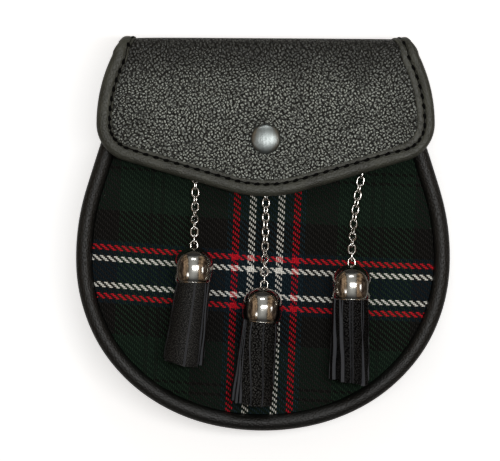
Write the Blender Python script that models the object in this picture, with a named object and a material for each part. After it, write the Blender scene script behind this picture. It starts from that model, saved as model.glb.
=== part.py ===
"""Day sporran lying on its back: a leather pouch with a tartan front panel, a snapped flap and three tassels.

Units are metres, written as millimetres times MM. +Z is up from the surface that it lies on, +Y points
to the flap's fold and +X to the right when looking down at the front. The origin is on the surface,
under the middle of the object's box.
"""

import math

import bmesh
import bpy
import numpy as np
from mathutils import Matrix, Vector

MM = 0.001
GAP = 0.3 * MM  # clearance between neighbouring pieces

# Outline of the pouch, seen from the front
BODY_HALF_WIDTH = 95.0 * MM
BODY_BOTTOM_Y = -100.0 * MM
WIDEST_Y = -11.9 * MM
BOTTOM_ROUNDNESS = 2.09  # exponent of the superellipse below the widest point; 2 is an ellipse
SIDE_ARC_RADIUS = 119.0 * MM
SIDE_SLOPE = math.radians(17.5)  # how far the straight upper sides lean in
MOUTH_Y = 89.0 * MM

# Depth of the pouch, from the surface up
EDGE_ROLL_RADIUS = 4.1 * MM
BACK_ROLL_Z = 3.8 * MM  # under the radius, so the roll stands on a flat foot
FRONT_ROLL_Z = 33.9 * MM
BACK_ROLL_TOP_Y = 73.0 * MM
BACK_PANEL_Z = (6.3 * MM, 8.3 * MM)
FRONT_PANEL_EDGE_Z = 34.9 * MM
FRONT_PANEL_THICKNESS = 2.6 * MM
FRONT_PANEL_RISE = 2.1 * MM
FRONT_PANEL_DOME = (87.0 * MM, 95.0 * MM)  # half axes of the padded dome
FRONT_PANEL_DOME_Y = -5.0 * MM
GUSSET_THICKNESS = 1.8 * MM
GUSSET_BOW = 2.5 * MM  # how far the gusset folds inwards at half depth

# Flap: its sheet runs from a tail on the back, up the spine and over the fold to the front leaf
TOP_Y = 100.0 * MM
FLAP_X = 1.3 * MM  # how far the leaf sits to the right of the pouch's middle
FLAP_THICKNESS = 2.2 * MM
FLAP_HALF_WIDTH = 85.7 * MM
FLAP_TIP_Y = 18.9 * MM
FLAP_TIP_RADIUS = 67.0 * MM
FLAP_CHEVRON = math.radians(16.3)
FLAP_CORNER_RADIUS = 19.5 * MM
FLAP_SIDE_RADIUS = 79.0 * MM
SPINE_HALF_WIDTH = 73.5 * MM
FOLD_RADIUS = 6.5 * MM
TAIL_END_Y = 74.0 * MM
TAIL_Z = 4.9 * MM
LEAF_Z = 41.0 * MM
LEAF_LIFT = 4.0 * MM
LEAF_LIFT_RUN = 32.0 * MM
LEAF_LIFT_HALF_WIDTH = 90.0 * MM

# Binding folded over the flap's edge: a round roll, a stitched lip, and a slot for the sheet
BINDING_LIP = 7.6 * MM
BINDING_ROLL = 5.6 * MM
BINDING_RISE = 2.8 * MM
BINDING_SLOT = 1.6 * MM
BINDING_LIP_RISE = 2.3 * MM
BINDING_BACK = 2.4 * MM
SHEET_INSET = 2.4 * MM

# Press stud
SNAP_X, SNAP_Y = FLAP_X, 47.9 * MM
SNAP_CAP_RADIUS = 7.4 * MM
SNAP_CAP_HEIGHT = 3.2 * MM
SNAP_POST_RADIUS = 2.2 * MM
SNAP_HOLE_RADIUS = 2.6 * MM
SNAP_POST_LENGTH = 2.9 * MM
SOCKET_RADII = (3.1 * MM, 5.6 * MM)
SOCKET_THICKNESS = 3.0 * MM
STUD_BASE_RADIUS, STUD_BASE_THICKNESS = 5.0 * MM, 1.1 * MM
STUD_KNOB_RADIUS, STUD_KNOB_HEIGHT = 2.5 * MM, 6.4 * MM

# Loops that the hanging belt passes through, on the back
LOOP_X = 42.0 * MM
LOOP_Y = 47.0 * MM
LOOP_WIDTH = 22.0 * MM
LOOP_SLOT_HEIGHT = 28.0 * MM
LOOP_SEWN_END = 7.0 * MM
LOOP_THICKNESS = 1.6 * MM
LOOP_CLEARANCE = 4.5 * MM  # between the back panel and the loop
LOOP_SHOULDER = 3.0 * MM

# Cable chain
LINK_LENGTH, LINK_WIDTH, LINK_WIRE = 5.45 * MM, 4.2 * MM, 1.1 * MM
LINK_PITCH = 3.67 * MM  # each link bears on the next with a slight overlap, which fuses them
LINK_END_SEGMENTS, LINK_WIRE_SIDES = 3, 5
CHAIN_REST = 2.7 * MM  # height of the chain's middle over the panel
CHAIN_RISE_RUN = 16.0 * MM  # length over which it climbs to the height of the tassel's axis
STAPLE_REACH = 2.55 * MM  # from the staple's middle to the first link's middle
EYE_REACH = 3.2 * MM  # from the last link's middle to the eye's middle
STAPLE_RADIUS = 1.8 * MM
STAPLE_BASE_RADIUS, STAPLE_BASE_THICKNESS = 3.4 * MM, 0.9 * MM

# Tassel: a metal cap, and leather strips held in it by a rolled head
CAP_RADIUS, CAP_HEIGHT, CAP_RIM_RADIUS, CAP_WALL = 10.1 * MM, 18.0 * MM, 9.6 * MM, 0.8 * MM
EYE_HEIGHT = 0.8 * MM  # middle of the eye over the cap's top
STRIP_THICKNESS = 1.5 * MM
STRIP_COUNT = 10
STRIP_FILL = 0.9  # share of the ring that the strips cover
# In mm: distance below the cap's top, then the ring there: half width, half height, and droop. The core is
# the rolled head with the inner strips below it
CORE_PROFILE = ((10.5, 7.6, 7.6, 0.0), (22.0, 7.6, 7.4, 0.1), (58.9, 7.7, 6.0, 2.2))
STRIP_PROFILE = ((14.0, 8.1, 8.1, 0.0), (18.6, 8.15, 8.15, 0.0), (25.0, 9.1, 8.7, 0.1), (60.1, 10.3, 8.6, 2.2))

# For each tassel, in mm and degrees: top of the cap, where the chain heads and the point that it bends
# towards, the cap's lean, the strips' extra sweep, the number of links, and how far they twist half way
TASSELS = {
    "left": dict(cap=(-34.9, -6.7), via=(-34.4, 12.0), head=(-33.9, 44.0), lean=1.5, sweep=5.8, links=12, twist=18.0),
    "centre": dict(cap=(0.5, -26.8), via=(1.4, 2.0), head=(1.8, 42.0), lean=4.8, sweep=2.0, links=16, twist=30.0),
    "right": dict(cap=(44.7, -15.4), via=(44.9, 14.0), head=(54.2, 46.0), lean=0.5, sweep=1.2, links=14, twist=-26.0),
}

ROLL_SIDES = 10
TURN_SIDES = 16

MATERIALS = {
    "smooth_leather": ((0.055, 0.055, 0.048), 0.45, 0.0),
    "grained_leather": ((0.070, 0.071, 0.063), 0.50, 0.0),
    "strip_leather": ((0.022, 0.022, 0.020), 0.60, 0.0),
    "tartan_cloth": ((0.008, 0.016, 0.011), 0.90, 0.0),
    "chrome": ((0.62, 0.60, 0.56), 0.12, 1.0),
    "pewter": ((0.32, 0.33, 0.32), 0.38, 1.0),
}


def clear_scene():
    """Remove every object that the file opened with."""
    for obj in list(bpy.data.objects):
        bpy.data.objects.remove(obj, do_unlink=True)


def material(name):
    """Make, or find, one of the object's plain materials."""
    found = bpy.data.materials.get(name)
    if found:
        return found
    colour, roughness, metallic = MATERIALS[name]
    made = bpy.data.materials.new(name)
    made.use_nodes = True
    surface = made.node_tree.nodes["Principled BSDF"]
    surface.inputs["Base Color"].default_value = (*colour, 1.0)
    surface.inputs["Roughness"].default_value = roughness
    surface.inputs["Metallic"].default_value = metallic
    return made


def add_empty(name, place):
    """Make an empty that carries the pieces built in its frame."""
    empty = bpy.data.objects.new(name, None)
    empty.empty_display_size = 5 * MM
    bpy.context.scene.collection.objects.link(empty)
    empty.matrix_world = place
    return empty


def add_object(name, shape, material_name, place=None, parent=None, helper=False):
    """Make an object from a closed shape, with its faces turned outwards. A helper only shapes another object."""
    verts, faces = shape
    mesh = bpy.data.meshes.new(name)
    mesh.from_pydata([tuple(v) for v in np.asarray(verts, float)], [], [tuple(f) for f in faces])
    work = bmesh.new()
    work.from_mesh(mesh)
    bmesh.ops.remove_doubles(work, verts=work.verts, dist=1e-6)
    bmesh.ops.recalc_face_normals(work, faces=work.faces)
    work.to_mesh(mesh)
    work.free()
    mesh.shade_smooth()
    mesh.set_sharp_from_angle(angle=math.radians(35))
    mesh.materials.append(material(material_name))
    obj = bpy.data.objects.new(name, mesh)
    bpy.context.scene.collection.objects.link(obj)
    obj.parent = parent
    if place:
        obj.matrix_local = place
    if helper:
        obj.hide_render = True
        obj.display_type = "WIRE"
    return obj


def fuse(name, shapes, material_name, parent=None):
    """Make one object from overlapping closed shapes, joined by a Boolean union."""
    base = add_object(name, shapes[0], material_name, parent=parent)
    others = bpy.data.collections.new(name + "_pieces")
    bpy.context.scene.collection.children.link(others)
    for number, shape in enumerate(shapes[1:]):
        piece = add_object(f"{name}_piece_{number}", shape, material_name, parent=parent, helper=True)
        bpy.context.scene.collection.objects.unlink(piece)
        others.objects.link(piece)
    union = base.modifiers.new("Fuse", "BOOLEAN")
    union.operation = "UNION"
    union.operand_type = "COLLECTION"
    union.collection = others
    return base


def cut(obj, cutter):
    """Cut one object out of another."""
    difference = obj.modifiers.new("Cut", "BOOLEAN")
    difference.operation = "DIFFERENCE"
    difference.object = cutter


def loft(rings, closed=False):
    """Join equal rings of points into a skin. An open run of rings gets an end face at each end."""
    rings = np.asarray(rings, float)
    count, size = rings.shape[:2]
    faces = []
    for i in range(count if closed else count - 1):
        here, there = i * size, (i + 1) % count * size
        for j in range(size):
            k = (j + 1) % size
            faces.append((here + j, here + k, there + k, there + j))
    if not closed:
        faces.append(tuple(range(size)))
        faces.append(tuple(range((count - 1) * size, count * size)))
    return rings.reshape(-1, 3), faces


def end_strips(size, starts):
    """Faces across the ends of a sheet whose rings hold one face's points and then the other's, backwards."""
    faces = []
    for start in starts:
        for j in range(size // 2 - 1):
            faces.append((start + j, start + j + 1, start + size - 2 - j, start + size - 1 - j))
    return faces


def turned(profile, sides=TURN_SIDES, closed=False):
    """Turn a profile of (radius, height) points about Z. A closed profile makes a ring-like solid."""
    angles = np.arange(sides) * 2 * np.pi / sides
    rings = [[(r * math.cos(a), r * math.sin(a), z) for r, z in profile] for a in angles]
    verts, faces = loft(rings, closed=True)
    if not closed:
        size = len(profile)
        faces = [f for number, f in enumerate(faces) if number % size != size - 1]
        faces.append(tuple(i * size for i in range(sides)))
        faces.append(tuple(i * size + size - 1 for i in range(sides)))
    return verts, faces


def moved(shape, matrix):
    """Place a shape by a 4 by 4 matrix."""
    verts, faces = shape
    place = np.array(matrix)
    return np.asarray(verts) @ place[:3, :3].T + place[:3, 3], faces


def smoothstep(t):
    """0 below 0, 1 above 1, and a smooth S between."""
    t = np.clip(t, 0.0, 1.0)
    return t * t * (3 - 2 * t)


# ---------------------------------------------------------------- pouch


def side_stations(top_y, arc_steps=3, bottom_steps=10):
    """Points and outward normals down the right side of the outline, from top_y to the bottom's middle.

    The upper side is straight, then an arc turns it upright at the widest point, and a superellipse
    closes the bottom.
    """
    arc_centre = BODY_HALF_WIDTH - SIDE_ARC_RADIUS
    turns = np.linspace(SIDE_SLOPE, 0.0, arc_steps + 1)
    normals = np.stack([np.cos(turns), np.sin(turns)], 1)
    arc = np.array([arc_centre, WIDEST_Y]) + SIDE_ARC_RADIUS * normals
    top = arc[0] + (top_y - arc[0, 1]) * np.array([-math.tan(SIDE_SLOPE), 1.0])
    height = WIDEST_Y - BODY_BOTTOM_Y
    angles = np.linspace(0.0, np.pi / 2, bottom_steps + 1)[1:]
    across, down = np.clip(np.cos(angles), 0, 1), np.sin(angles)
    bowl = np.stack(
        [
            BODY_HALF_WIDTH * across ** (2 / BOTTOM_ROUNDNESS),
            WIDEST_Y - height * down ** (2 / BOTTOM_ROUNDNESS),
        ],
        1,
    )
    power = 2 - 2 / BOTTOM_ROUNDNESS
    slopes = np.stack([across**power / BODY_HALF_WIDTH, -(down**power) / height], 1)
    slopes /= np.linalg.norm(slopes, axis=1, keepdims=True)
    bowl[-1, 0], slopes[-1] = 0.0, (0.0, -1.0)
    return np.vstack([top, arc, bowl]), np.vstack([normals[:1], normals, slopes])


def outline(top_y, inset=0.0):
    """The outline from the top left round the bottom to the top right, moved inwards, and its normals."""
    points, normals = side_stations(top_y)
    points = points - inset * normals
    flip = np.array([-1.0, 1.0])
    whole = np.vstack([points[:-1] * flip, points[::-1]])
    facing = np.vstack([normals[:-1] * flip, normals[::-1]])
    return whole, facing


def panel_height(x, y):
    """Height of the front panel's cloth, which a padded dome lifts."""
    share = 1 - (x / FRONT_PANEL_DOME[0]) ** 2 - ((y - FRONT_PANEL_DOME_Y) / FRONT_PANEL_DOME[1]) ** 2
    return FRONT_PANEL_EDGE_Z + FRONT_PANEL_RISE * max(0.0, share)


def edge_roll(name, centre_z, top_y):
    """The round padded binding along the sides and bottom of a panel, flattened where it would pass the floor."""
    points, normals = outline(top_y, EDGE_ROLL_RADIUS)
    turns = np.arange(ROLL_SIDES) * 2 * np.pi / ROLL_SIDES
    rings = []
    for point, normal in zip(points, normals):
        across = point + EDGE_ROLL_RADIUS * np.cos(turns)[:, None] * normal
        up = np.maximum(0.0, centre_z + EDGE_ROLL_RADIUS * np.sin(turns))
        rings.append(np.column_stack([across, up]))
    return add_object(name, loft(rings), "smooth_leather")


def gusset():
    """The leather band that joins the two panels round the sides and bottom, folded inwards a little."""
    low = BACK_ROLL_Z + EDGE_ROLL_RADIUS + GAP
    high = FRONT_ROLL_Z - EDGE_ROLL_RADIUS - GAP
    shares = np.linspace(0.0, 1.0, 4)
    outer = EDGE_ROLL_RADIUS - GUSSET_THICKNESS / 2 + GUSSET_BOW * np.sin(np.pi * shares)
    insets = np.concatenate([outer, outer[::-1] + GUSSET_THICKNESS])
    heights = low + (high - low) * np.concatenate([shares, shares[::-1]])
    points, normals = outline(MOUTH_Y)
    rings = [
        np.column_stack([point - insets[:, None] * normal, heights])
        for point, normal in zip(points, normals)
    ]
    return add_object("gusset", loft(rings), "smooth_leather")


def back_panel():
    """The flat leather back."""
    points, _ = outline(MOUTH_Y, 2 * EDGE_ROLL_RADIUS - 0.2 * MM)
    rings = [np.column_stack([points, np.full(len(points), z)]) for z in BACK_PANEL_Z]
    return add_object("back_panel", loft(rings), "smooth_leather")


def front_panel():
    """The cloth-covered board in front, with a low padded dome."""
    points, _ = outline(MOUTH_Y - 1.0 * MM, 2 * EDGE_ROLL_RADIUS + GAP)
    middle = np.array([0.0, FRONT_PANEL_DOME_Y])
    shares = (0.3, 0.65, 1.0)
    rings = []
    for share, depth in [(s, FRONT_PANEL_THICKNESS) for s in shares] + [(s, 0.0) for s in shares[::-1]]:
        ring = middle + share * (points - middle)
        rings.append([(x, y, panel_height(x, y) - depth) for x, y in ring])
    return add_object("front_panel", loft(rings), "tartan_cloth")


# ---------------------------------------------------------------- flap

SPINE_Y = TOP_Y - BINDING_RISE
FOLD_Y = SPINE_Y - FOLD_RADIUS  # where both folds meet the flat tail and the leaf
TAIL_RUN = FOLD_Y - TAIL_END_Y
FOLD_RUN = FOLD_RADIUS * math.pi / 2
SPINE_RUN = LEAF_Z - TAIL_Z - 2 * FOLD_RADIUS
LEAF_START = TAIL_RUN + 2 * FOLD_RUN + SPINE_RUN


def flap_surface(x, run):
    """Middle of the flap's sheet at a place across it, from its own middle, and a run along it from the tail's end.

    The run goes along the tail on the back, round the lower fold, up the spine, round the upper
    fold, and down the front leaf, which lifts towards its middle. On the way from the tail to the
    leaf the sheet moves aside, because the leaf doesn't sit in the pouch's middle.
    """
    place = x + FLAP_X * smoothstep((run - TAIL_RUN) / (LEAF_START - TAIL_RUN))
    if run <= TAIL_RUN:
        return np.array([place, TAIL_END_Y + run, TAIL_Z])
    run -= TAIL_RUN
    if run <= FOLD_RUN:
        turn = run / FOLD_RADIUS
        rise = FOLD_RADIUS * (1 - math.cos(turn))
        return np.array([place, FOLD_Y + FOLD_RADIUS * math.sin(turn), TAIL_Z + rise])
    run -= FOLD_RUN
    if run <= SPINE_RUN:
        return np.array([place, SPINE_Y, TAIL_Z + FOLD_RADIUS + run])
    run -= SPINE_RUN
    if run <= FOLD_RUN:
        turn = run / FOLD_RADIUS
        drop = FOLD_RADIUS * (1 - math.sin(turn))
        return np.array([place, FOLD_Y + FOLD_RADIUS * math.cos(turn), LEAF_Z - drop])
    run -= FOLD_RUN
    across = 1 - (x / LEAF_LIFT_HALF_WIDTH) ** 2
    lift = LEAF_LIFT * smoothstep(run / LEAF_LIFT_RUN) * across
    return np.array([place, FOLD_Y - run, LEAF_Z + lift])


def flap_normal(x, run):
    """Direction out of the flap's sheet, away from the pouch."""
    step = 0.05 * MM
    along = flap_surface(x, run + step) - flap_surface(x, run - step)
    across = flap_surface(x + step, run) - flap_surface(x - step, run)
    normal = np.cross(along, across)
    return normal / np.linalg.norm(normal)


def flap_edge(side_steps=4, corner_steps=3, line_steps=2, tip_steps=2):
    """Edge of the front leaf on its right, as (x, run) points with outward normals, from fold to tip.

    A long arc runs down the side, a corner arc turns under it, and a straight chevron meets the
    rounded tip. It also gives the number of the point half way round the corner.
    """
    tip_centre = FLAP_TIP_Y + FLAP_TIP_RADIUS
    tangent_x = FLAP_TIP_RADIUS * math.sin(FLAP_CHEVRON)
    tangent_y = tip_centre - FLAP_TIP_RADIUS * math.cos(FLAP_CHEVRON)
    corner_x = FLAP_HALF_WIDTH - FLAP_CORNER_RADIUS
    line_y = tangent_y + (corner_x - tangent_x) * math.tan(FLAP_CHEVRON)
    corner_y = line_y + FLAP_CORNER_RADIUS / math.cos(FLAP_CHEVRON)
    side_x = FLAP_HALF_WIDTH - FLAP_SIDE_RADIUS
    side_top = math.asin((FOLD_Y - corner_y) / FLAP_SIDE_RADIUS)
    corner_end = FLAP_CHEVRON - math.pi / 2

    def arc(cx, cy, radius, turns):
        facing = np.stack([np.cos(turns), np.sin(turns)], 1)
        return np.array([cx, cy]) + radius * facing, facing

    side = arc(side_x, corner_y, FLAP_SIDE_RADIUS, np.linspace(side_top, 0.0, side_steps + 1))
    corner = arc(corner_x, corner_y, FLAP_CORNER_RADIUS, np.linspace(0.0, corner_end, 2 * corner_steps + 1)[1:])
    tip = arc(0.0, tip_centre, FLAP_TIP_RADIUS, np.linspace(corner_end, -math.pi / 2, tip_steps + 1))
    shares = np.linspace(0.0, 1.0, line_steps + 1)[1:-1, None]
    line = corner[0][-1] + shares * (tip[0][0] - corner[0][-1])
    points = np.vstack([side[0], corner[0], line, tip[0]])
    normals = np.vstack([side[1], corner[1], np.repeat(tip[1][:1], len(line), 0), tip[1]])
    points[:, 1] = LEAF_START + FOLD_Y - points[:, 1]
    normals[:, 1] *= -1
    return points, normals, side_steps + corner_steps


def flap_back_runs():
    """Runs of the rows on the tail, the folds and the spine, before the leaf starts."""
    lower_fold = TAIL_RUN + np.linspace(0.0, FOLD_RUN, 4)
    upper_fold = LEAF_START - FOLD_RUN + np.linspace(0.0, FOLD_RUN, 4)
    return np.concatenate([[0.0], lower_fold, upper_fold])[:-1]


def flap_half_width(run):
    """Half width of the flap behind its leaf: the side arc carries on over the fold to the spine's width."""
    edge, _, _ = flap_edge()
    beyond = (LEAF_START - run) / FOLD_RUN
    return edge[0, 0] + (SPINE_HALF_WIDTH - edge[0, 0]) * smoothstep(beyond)


def flap_sheet():
    """The leather of the flap, from the tail on the back to the leaf in front, with the press stud's hole."""
    edge, facing, corner = flap_edge()
    edge = edge - SHEET_INSET * facing
    mirror = np.array([-1.0, 1.0])
    down, under = edge[: corner + 1], edge[corner:]
    bottom = np.vstack([under * mirror, under[::-1][1:]])
    columns = np.linspace(-1.0, 1.0, len(bottom))
    top = np.stack([columns * down[0, 0], np.full(len(bottom), down[0, 1])], 1)
    u = (columns[:, None] + 1) / 2
    rows = []
    for run in flap_back_runs():
        half = flap_half_width(run) - SHEET_INSET
        rows.append(np.stack([columns * half, np.full(len(columns), run)], 1))
    for v, right in zip(np.linspace(0.0, 1.0, len(down)), down):
        # Coons patch: the two pairs of edges blended, less what the corners count twice
        blend = (1 - v) * top + v * bottom + (1 - u) * right * mirror + u * right
        corners = (1 - v) * ((1 - u) * top[0] + u * top[-1]) + v * ((1 - u) * bottom[0] + u * bottom[-1])
        rows.append(blend - corners)
    grid = np.array(rows)
    middle = np.array([[flap_surface(x, run) for x, run in row] for row in grid])
    out = np.array([[flap_normal(x, run) for x, run in row] for row in grid])
    half = FLAP_THICKNESS / 2
    rings = [np.vstack([m + half * n, (m - half * n)[::-1]]) for m, n in zip(middle, out)]
    verts, faces = loft(rings)
    size = 2 * len(columns)
    faces = faces[:-2] + end_strips(size, (0, (len(rings) - 1) * size))
    flap = add_object("flap", (verts, faces), "grained_leather")
    hole = turned([(SNAP_HOLE_RADIUS, -3 * MM), (SNAP_HOLE_RADIUS, 3 * MM)], sides=12)
    place = Matrix.Translation((SNAP_X, SNAP_Y, snap_level()))
    cut(flap, add_object("snap_hole_cutter", hole, "pewter", place, helper=True))
    return flap


def flap_binding():
    """The smooth binding folded over the flap's edge, from one tail end round to the other."""
    profile = np.array(
        [
            (BINDING_LIP, BINDING_SLOT),
            (BINDING_LIP, BINDING_LIP_RISE),
            (BINDING_ROLL, BINDING_LIP_RISE),
            (BINDING_ROLL * 0.72, BINDING_RISE),
            (BINDING_ROLL * 0.32, BINDING_RISE * 0.94),
            (BINDING_ROLL * 0.07, BINDING_RISE * 0.5),
            (0.0, -0.2 * BINDING_RISE),
            (BINDING_ROLL * 0.22, -BINDING_BACK),
            (BINDING_LIP, -BINDING_BACK),
            (BINDING_LIP, -BINDING_SLOT),
            (SHEET_INSET - GAP, -BINDING_SLOT),
            (SHEET_INSET - GAP, BINDING_SLOT),
        ]
    )
    runs = flap_back_runs()
    back = np.array([(flap_half_width(run), run) for run in runs])
    edge, facing, _ = flap_edge()
    points = np.vstack([back, edge])
    normals = np.vstack([np.tile([1.0, 0.0], (len(back), 1)), facing])
    mirror = np.array([-1.0, 1.0])
    points = np.vstack([points * mirror, points[::-1][1:]])
    normals = np.vstack([normals * mirror, normals[::-1][1:]])
    rings = []
    for point, normal in zip(points, normals):
        ring = []
        for inward, out in profile:
            x, run = point - inward * normal
            run = max(run, 0.0)
            ring.append(flap_surface(x, run) + out * flap_normal(x, max(run, 0.1 * MM)))
        rings.append(ring)
    return add_object("flap_binding", loft(rings), "smooth_leather")


# ---------------------------------------------------------------- press stud and belt loops


def snap_level():
    """Height of the middle of the flap's sheet at the press stud."""
    return flap_surface(0.0, LEAF_START + FOLD_Y - SNAP_Y)[2]


def press_stud():
    """Cap and post through the flap, socket under it, and stud on the front panel, on one axis."""
    axis = add_empty("press_stud", Matrix.Translation((SNAP_X, SNAP_Y, 0.0)))
    turns = np.linspace(0.0, np.pi / 2, 5)
    rim, rise = 0.6 * MM, SNAP_CAP_HEIGHT - 0.6 * MM
    dome = [(SNAP_CAP_RADIUS * math.cos(a), rim + rise * math.sin(a)) for a in turns[:-1]]
    cap = [
        (0.4 * SNAP_POST_RADIUS, SNAP_CAP_HEIGHT),
        *dome[::-1],
        (SNAP_CAP_RADIUS, 0.0),
        (SNAP_POST_RADIUS, 0.0),
        (SNAP_POST_RADIUS, -SNAP_POST_LENGTH),
    ]
    over = Matrix.Translation((0.0, 0.0, snap_level() + FLAP_THICKNESS / 2 + GAP))
    add_object("snap_cap", turned(cap), "pewter", over, axis)

    inner, outer = SOCKET_RADII
    socket = [(inner, 0.0), (outer, 0.0), (outer, -SOCKET_THICKNESS), (inner, -SOCKET_THICKNESS)]
    under = Matrix.Translation((0.0, 0.0, snap_level() - FLAP_THICKNESS / 2 - GAP))
    add_object("snap_socket", turned(socket, sides=12, closed=True), "pewter", under, axis)

    stud = [
        (STUD_BASE_RADIUS, 0.0),
        (STUD_BASE_RADIUS, STUD_BASE_THICKNESS),
        (STUD_KNOB_RADIUS, STUD_BASE_THICKNESS),
        (STUD_KNOB_RADIUS, STUD_KNOB_HEIGHT),
    ]
    panel = Matrix.Translation((0.0, 0.0, panel_height(SNAP_X, SNAP_Y) + GAP))
    add_object("snap_stud", turned(stud, sides=12), "pewter", panel, axis)


def belt_loop(name, x):
    """A leather strip sewn down at both ends, standing off the back panel so that a belt passes along X."""
    half, drop, shoulder = LOOP_SLOT_HEIGHT / 2, LOOP_CLEARANCE - GAP, LOOP_SHOULDER
    # (distance from the middle, depth under the sewn face) of one half, for each face of the strip
    near = [
        (half + LOOP_SEWN_END, 0.0),
        (half + 0.2 * MM, 0.0),
        (half - 0.35 * shoulder, 0.25 * drop),
        (half - 0.75 * shoulder, 0.8 * drop),
        (half - 1.25 * shoulder, drop),
    ]
    far = [
        (half + LOOP_SEWN_END, LOOP_THICKNESS),
        (half + 1.3 * MM, LOOP_THICKNESS),
        (half + 0.35 * MM, 0.25 * drop + 0.8 * LOOP_THICKNESS),
        (half - 0.3 * shoulder, 0.8 * drop + 0.75 * LOOP_THICKNESS),
        (half - shoulder, drop + LOOP_THICKNESS),
    ]
    inner, outer = ([*side, *((-y, depth) for y, depth in side[::-1])] for side in (near, far))
    profile = inner + outer[::-1]
    rings = [[(side, y, -depth) for y, depth in profile] for side in (-LOOP_WIDTH / 2, LOOP_WIDTH / 2)]
    verts, faces = loft(rings)
    faces = faces[:-2] + end_strips(len(profile), (0, len(profile)))
    return add_object(name, (verts, faces), "smooth_leather", Matrix.Translation((x, LOOP_Y, BACK_PANEL_Z[0] - GAP)))


# ---------------------------------------------------------------- chains and tassels


def wire_ring(path, sides, radius):
    """A wire bent round a closed path in the XY plane."""
    path = np.asarray(path, float)
    ahead, behind = np.roll(path, -1, 0), np.roll(path, 1, 0)
    along = (ahead - behind) / np.linalg.norm(ahead - behind, axis=1, keepdims=True)
    out = np.stack([along[:, 1], -along[:, 0]], 1)
    turns = np.arange(sides) * 2 * np.pi / sides
    rings = []
    for point, side in zip(path, out):
        flat = point + radius * np.cos(turns)[:, None] * side
        rings.append(np.column_stack([flat, radius * np.sin(turns)]))
    return loft(rings, closed=True)


def link_shape():
    """One oval link with straight sides, lying in the XY plane with its length along Y.

    The ends have an odd number of segments, so their middle segments are stretched to the full length.
    """
    radius = (LINK_WIDTH - LINK_WIRE) / 2
    straight = (LINK_LENGTH - LINK_WIDTH) / 2
    turns = np.linspace(0.0, np.pi, LINK_END_SEGMENTS + 1)
    stretch = 1 / math.cos(math.pi / LINK_END_SEGMENTS / 2)
    top = np.stack([radius * np.cos(turns), straight + stretch * radius * np.sin(turns)], 1)
    return wire_ring(np.vstack([top, -top]), LINK_WIRE_SIDES, LINK_WIRE / 2)


ALONG_Y = Matrix.Rotation(-math.pi / 2, 4, "X")  # turns a profile's height from Z to Y


def tassel_frame(tassel):
    """Place of a tassel whose cap lies on the cloth: the cap's top at its origin, and the tassel along its -Y."""
    x, y = np.array(tassel["cap"]) * MM
    axis_z = panel_height(x, y - CAP_RADIUS) + CAP_RADIUS + GAP
    return Matrix.Translation((x, y, axis_z)) @ Matrix.Rotation(math.radians(-tassel["lean"]), 4, "Z")


def chain_place(tassel, distance):
    """Point on a chain's middle line at a distance from the eye, along a bend that rises from the panel."""
    eye = np.array(tassel_frame(tassel) @ Vector((0.0, EYE_HEIGHT, 0.0)))
    via, head = np.array(tassel["via"]) * MM, np.array(tassel["head"]) * MM
    t = np.linspace(0.0, 1.0, 400)[:, None]
    plan = (1 - t) ** 2 * eye[:2] + 2 * t * (1 - t) * via + t**2 * head
    across = np.concatenate([[0.0], np.cumsum(np.linalg.norm(np.diff(plan, axis=0), axis=1))])
    rest = np.array([panel_height(x, y) for x, y in plan]) + CHAIN_REST
    climb = smoothstep(1 - (across - LINK_LENGTH) / CHAIN_RISE_RUN)
    path = np.column_stack([plan, rest + (eye[2] - rest) * climb])
    travel = np.concatenate([[0.0], np.cumsum(np.linalg.norm(np.diff(path, axis=0), axis=1))])
    return np.array([np.interp(distance, travel, path[:, axis]) for axis in range(3)])


def chain(side, tassel):
    """The links between the eye and the staple, each turned a quarter from the last, fused where they bear."""
    shape = link_shape()
    shapes = []
    for number in range(tassel["links"]):
        stop = EYE_REACH + number * LINK_PITCH
        middle = chain_place(tassel, stop)
        along = chain_place(tassel, stop + MM) - chain_place(tassel, stop - MM)
        along /= np.linalg.norm(along)
        across = np.cross(along, (0.0, 0.0, 1.0))
        across /= np.linalg.norm(across)
        up = np.cross(across, along)
        twist = tassel["twist"] * math.sin(math.pi * number / (tassel["links"] - 1))
        turn = math.radians(twist + 90.0 * (number + 1))
        width = math.cos(turn) * across + math.sin(turn) * up
        place = np.eye(4)
        place[:3, 0], place[:3, 1], place[:3, 2], place[:3, 3] = width, along, np.cross(width, along), middle
        shapes.append(moved(shape, place))
    return fuse(f"tassel_chain_{side}", shapes, "chrome")


def staple(side, tassel):
    """The wire eye on a small plate that holds the chain to the front panel, past its last link, under the flap."""
    reach = EYE_REACH + (tassel["links"] - 1) * LINK_PITCH + STAPLE_REACH
    x, y, z = chain_place(tassel, reach)
    back = chain_place(tassel, reach - MM) - (x, y, z)
    turns = np.arange(8) * 2 * np.pi / 8
    ring = wire_ring(STAPLE_RADIUS * np.stack([np.cos(turns), np.sin(turns)], 1), 6, LINK_WIRE / 2)
    heading = Matrix.Rotation(math.atan2(back[1], back[0]), 4, "Z")
    place = add_empty(f"staple_{side}", Matrix.Translation((x, y, z)) @ heading)
    base = GAP - CHAIN_REST
    plate = turned([(STAPLE_BASE_RADIUS, base), (STAPLE_BASE_RADIUS, base + STAPLE_BASE_THICKNESS)], sides=12)
    upright = moved(ring, Matrix.Rotation(math.pi / 2, 4, "X"))
    return fuse(f"chain_staple_{side}", [plate, upright], "chrome", place)


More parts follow.
